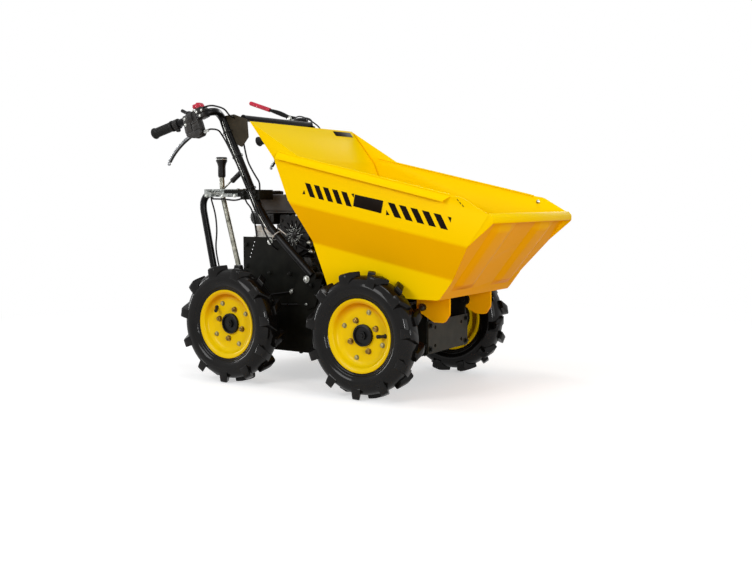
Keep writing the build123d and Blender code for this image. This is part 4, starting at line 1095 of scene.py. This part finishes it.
def build_governor():
    """The governor's two springs with their eyes, and the belt tensioner's arm."""
    springs = [coil_spring((172, -150, 474.6), (232, -150, 453.4), 5.4, 15),
               coil_spring((184, -147, 494.8), (224, -147, 482.4), 4.6, 10)]
    eyes = [rod((230, -150, 454.2), (245, -150, 448.8), 7.4),
            rod((220, -147, 483.6), (234, -147, 479.2), 8.2),
            rod((166, -141, 476.6), (172.4, -150, 474.4), 4),
            rod((178, -138, 496.8), (184.4, -147, 494.6), 4)]
    fitting("governor_springs", joined(*springs), "tube_coat",
            sharp=TUBE_SHARP)
    fitting("governor_eyes", joined(*eyes), "yellow_zinc", sharp=TUBE_SHARP)
    wedge = slab([(215, 433), (243, 431), (258, 384), (252, 372), (244, 378)], -168, -163,
                 1, 2.5)
    arm = joined(wedge, rod((228, -163, 424), (228, -118, 424), 6))
    fitting("belt_arm", arm, "grey_casting")


def build_carburettor():
    """The carburettor, the starter's bracket, and the spark plug with its lead."""
    body = [block(60, 104, -104, -60, 541, 578, 3), rod((82, -60, 560), (82, -38, 560), 15),
            block(66, 98, -98, -66, 520, 541.5, 5), rod((70, -108, 556), (70, -104, 556), 6)]
    fitting("carburettor", joined(*body), "grey_casting")
    wedge = slab([(-38, 497), (-39, 536), (-26, 538), (-8, 537), (51, 496)], -119, -106,
                 1.4, 1.5)
    flange = slab([(-44, 494), (-45, 500), (58, 500), (62, 494)], -124, -106, 1.2, 1.5)
    lug = slab([(-36, 516), (-36, 521), (8, 521), (18, 513), (12, 511), (2, 516)],
               -121, -118.8, 0.8, 1.5)
    fitting("starter_bracket", joined(wedge, flange, lug), "pale_casting")
    rise = (1, 0, 0.25)
    plug = lathe([(0, 0), (10, 0), (10, 6), (6, 8), (6, 24), (4, 26), (0, 26)], (252, 0, 479),
                 rise, 16)
    fitting("spark_plug", plug, "bright_zinc")
    boot = lathe([(0, 0), (9, 0), (9, 14), (7, 20), (0, 20)], (268, 0, 483), rise, 20)
    lead = swept([(284, 0, 487), (300, 0, 494), (292, -40, 520), (250, -70, 540),
                  (206, -76, 545), (190, -66, 540)], 3.4, 3, 8)
    fitting("plug_lead", joined(boot, lead), "black_plastic",
            sharp=TUBE_SHARP)


def build_lower_engine():
    """The muffler's louvred guard, the oil plugs, and the engine's feet."""
    guard = slab([(56, 494), (204, 494), (204, 568), (190, 576), (70, 576), (56, 568)],
                 136, 139, 0.8, 6)
    louvres = [slab([(x, 506), (x + 6, 506), (x + 6, 560), (x, 560)], 138.6, 141, 1.2, 2.5)
               for x in range(70, 190, 14)]
    fitting("muffler_guard", joined(guard, *louvres), "tube_coat")
    filler = lathe([(0, 0), (11, 0), (11, 12), (14, 13), (14, 18), (8, 20), (0, 20)],
                   (40, -71, 398), (-0.3, -1, 0.35), 16)
    drain = bolt((70, -72, 382), RIGHT, 12, 1.5, 7)
    fitting("oil_plugs", joined(filler, drain), "black_plastic")
    lugs = [block(x - 14, x + 14, y - 12, y + 12, 368, 374, 2) for x in (36, 176)
            for y in (-78, 78)]
    fitting("engine_feet", joined(*lugs), "cast_aluminium")
    feet = bolts([(x, y, 368) for x in (36, 176) for y in (-84, 84)], UP, 13, 2, 7)
    fitting("engine_foot_bolts", joined(*feet), "bright_zinc")


# ----------------------------------------------------------------- the chassis
TUBE_R = 30.6           # the axle tubes' outside


def side_bolts(sign):
    """The bolts of one side plate, its axle flanges and its gearbox."""
    side = (0, sign, 0)
    face = sign * (PLATE_Y + 0.1)
    places = ((-46, 470), (-46, 392), (-46, 250), (-46, 130), (60, 372), (150, 372), (228, 342),
              (300, 292), (430, 292), (300, 118), (430, 118), (590, 268), (590, 130))
    heads = bolts([(x, face, z) for x, z in places], side, 13, 1.6, 6)
    for x in AXLES_X:
        for i in range(6):
            out = Vector((math.cos(math.radians(60 * i + 30)), 0,
                          math.sin(math.radians(60 * i + 30))))
            hub, flange = Vector((x, sign * 262.2, AXLE_Z)), Vector((x, face, AXLE_Z))
            heads.append(bolt(hub + out * 37, side, 8, 1, 4))
            heads.append(bolt(flange + out * 44, side, 10, 1.4, 5))
    return heads + bolts([(248, sign * 166.3, 336), (270, sign * 166.3, 302)], side, 13, 1.8, 7)


def chassis_bolts():
    """Every bolt of the welded box: both sides, rear plate, belly pan and front plate."""
    heads = side_bolts(-1) + side_bolts(1)
    heads += bolts([(-62.2, y, z) for y in (-140, 140) for z in (140, 250, 345)],
                   (-1, 0, 0), 12, 1.6, 6)
    heads += bolts([(x, y, 99.8) for y in (-140, 0, 140) for x in (-20, 180, 380, 560)],
                   (0, 0, -1), 12, 1.6, 6)
    heads += bolts([(693.2, y, z) for y in (-122, 122) for z in (146, 224)], (1, 0, 0), 12,
                   1.6, 6)
    return joined(*heads)


def chassis_welds():
    """The beads of the hinge ears' gussets, the front plate and the deck."""
    seams = [weld((621, y, 140), (621, y, 280)) for y in (-126, -134, 126, 134)]
    for sign in SIDES:
        seams += [weld((565, sign * 155, 282), (615, sign * 155, 282)),
                  weld((686, sign * 134, 134), (686, sign * 134, 236)),
                  weld((-60, sign * 154, 369), (230, sign * 154, 369))]
    return joined(*seams)


def gearbox_ribs():
    """Ribs and drain plug of the gearbox, the differential's seam and the shaft's collars."""
    ribs = [block(x, x + 7, -68, 68, 130, 322, 2) for x in (-30, 20, 70)]
    ribs.append(block(-50, 98, -70, 70, 216, 226, 2))
    ribs.append(lathe([(0, 0), (15, 0), (15, 5), (9, 6), (9, 9), (0, 9)], (24, 0, 118),
                      (0, 0, -1), 6))
    ribs.append(block(548, 556, -53, 53, 126, 238, 1.6))
    collar = [(26, 0), (34, 0), (34, 8), (26, 8), (26, 0)]
    ribs += [lathe(collar, (x, 0, 183), (1, 0, 0), 32) for x in (105.4, 486)]
    return joined(*ribs)


def build_chassis():
    """Bolts, welds and castings' detail, also where only the underside shows them."""
    fitting("chassis_bolts", chassis_bolts(), "plate_coat")
    rods = [swept([(x0, -163.6, z0), (x1, -163.6, z1)], 2.6, 1, 8)
            for x0, z0, x1, z1 in ((60, 295, 160, 310.5), (96, 262, 222, 270))]
    fitting("brake_rods", both(joined(*rods)), "tube_coat")
    pins = [bolt((160, -163, 310.5), RIGHT, 12, 1.6, 5), bolt((224, -163, 270.2), RIGHT, 8, 1.2, 4)]
    fitting("brake_rod_pins", both(joined(*pins)), "bright_zinc")
    fitting("chassis_welds", chassis_welds(), "plate_coat", sharp=TUBE_SHARP)
    profile = [(TUBE_R, 0), (52, 0), (54, 2), (54, 5), (40, 9), (34, 16), (TUBE_R, 18),
               (TUBE_R, 0)]
    flanges = [lathe(profile, (x, sign * (PLATE_Y + 0.2), AXLE_Z), (0, sign, 0), 40)
               for sign in SIDES for x in AXLES_X]
    fitting("axle_flanges", joined(*flanges), "painted_casting")
    for corner in ("rear_right", "front_right", "rear_left", "front_left"):
        x = WHEELBASE if "front" in corner else 0
        sign = -1 if "right" in corner else 1
        nut = lathe([(0, 0), (13, 0), (14.5, 1.4), (14.5, 7), (9, 7.4), (8, 10.5), (0, 11)],
                    (x, sign * 306.6, AXLE_Z), (0, sign, 0), 6)
        y = sign * 314.6
        pin = rod((x - 13, y, AXLE_Z), (x + 13, y, AXLE_Z), 1.6, 10, 0.4)
        fitting(f"axle_nut_{corner}", joined(nut, pin), "painted_casting", f"wheel_{corner}")
    fitting("gearbox_ribs", gearbox_ribs(), "painted_casting")


# ------------------------------------------------------------------------ stage
WHITE = (1, 1, 1, 1)
FADE_FROM, FADE_TO = 1.0, 2.6       # metres from the middle, from paper to plain white


def seen_by(tree, first, *others):
    """One for the rays of the kinds named, and nought for the rest."""
    ray = add(tree, "ShaderNodeLightPath")
    seen = ray.outputs[first]
    for kind in others:
        seen = add(tree, "ShaderNodeMath", {0: seen, 1: ray.outputs[kind]},
                   operation="MAXIMUM").outputs["Value"]
    return seen


def build_stage():
    """A pale floor that keeps the machine's shadow, and a white surround."""
    shape = bmesh.new()
    bmesh.ops.create_grid(shape, x_segments=1, y_segments=1, size=40)
    mesh = bpy.data.meshes.new("floor")
    shape.to_mesh(mesh)
    shape.free()
    show("floor", mesh)
    material = bpy.data.materials.new("floor_paper")
    material.use_nodes = True
    tree = material.node_tree
    tree.nodes.clear()
    place = add(tree, "ShaderNodeTexCoord")
    far = add(tree, "ShaderNodeVectorMath", {0: place.outputs["Object"]}, operation="LENGTH")
    fade = add(tree, "ShaderNodeMapRange", {"Value": far.outputs["Value"],
                                            "From Min": FADE_FROM, "From Max": FADE_TO},
               interpolation_type="SMOOTHSTEP")
    paper = add(tree, "ShaderNodeBsdfDiffuse", {"Color": linear("#DADADA")})
    glow = add(tree, "ShaderNodeEmission", {"Color": WHITE, "Strength": 0.5})
    near = add(tree, "ShaderNodeAddShader", {0: paper.outputs["BSDF"],
                                             1: glow.outputs["Emission"]})
    white = add(tree, "ShaderNodeEmission", {"Color": WHITE, "Strength": 1.0})
    shown = add(tree, "ShaderNodeMixShader", {0: fade.outputs["Result"],
                                              1: near.outputs["Shader"],
                                              2: white.outputs["Emission"]})
    bounce = add(tree, "ShaderNodeBsdfDiffuse", {"Color": linear("#C4985C")})
    floor = add(tree, "ShaderNodeMixShader", {0: seen_by(tree, "Is Camera Ray", "Is Glossy Ray"),
                                              1: bounce.outputs["BSDF"],
                                              2: shown.outputs["Shader"]})
    add(tree, "ShaderNodeOutputMaterial", {"Surface": floor.outputs["Shader"]})
    mesh.materials.append(material)


def build_world():
    """An even grey light that camera, gloss and glass see as white."""
    world = bpy.data.worlds.new("surround")
    bpy.context.scene.world = world
    world.use_nodes = True
    tree = world.node_tree
    tree.nodes.clear()
    seen = seen_by(tree, "Is Camera Ray", "Is Glossy Ray", "Is Transmission Ray")
    strength = add(tree, "ShaderNodeMapRange", {"Value": seen, "To Min": 0.4, "To Max": 1.0})
    sky = add(tree, "ShaderNodeBackground", {"Color": WHITE,
                                             "Strength": strength.outputs["Result"]})
    add(tree, "ShaderNodeOutputWorld", {"Surface": sky.outputs["Background"]})


place_camera()
place_lamps()
build_world()
build_stage()
finish_nodes()
build_wheels()
build_skip()
build_levers()
build_switches()
build_cables()
build_clutch()
build_gate()
build_tank()
build_air_cleaner()
build_cowl()
build_governor()
build_carburettor()
build_lower_engine()
build_chassis()
bpy.context.scene.view_settings.view_transform = "Standard"
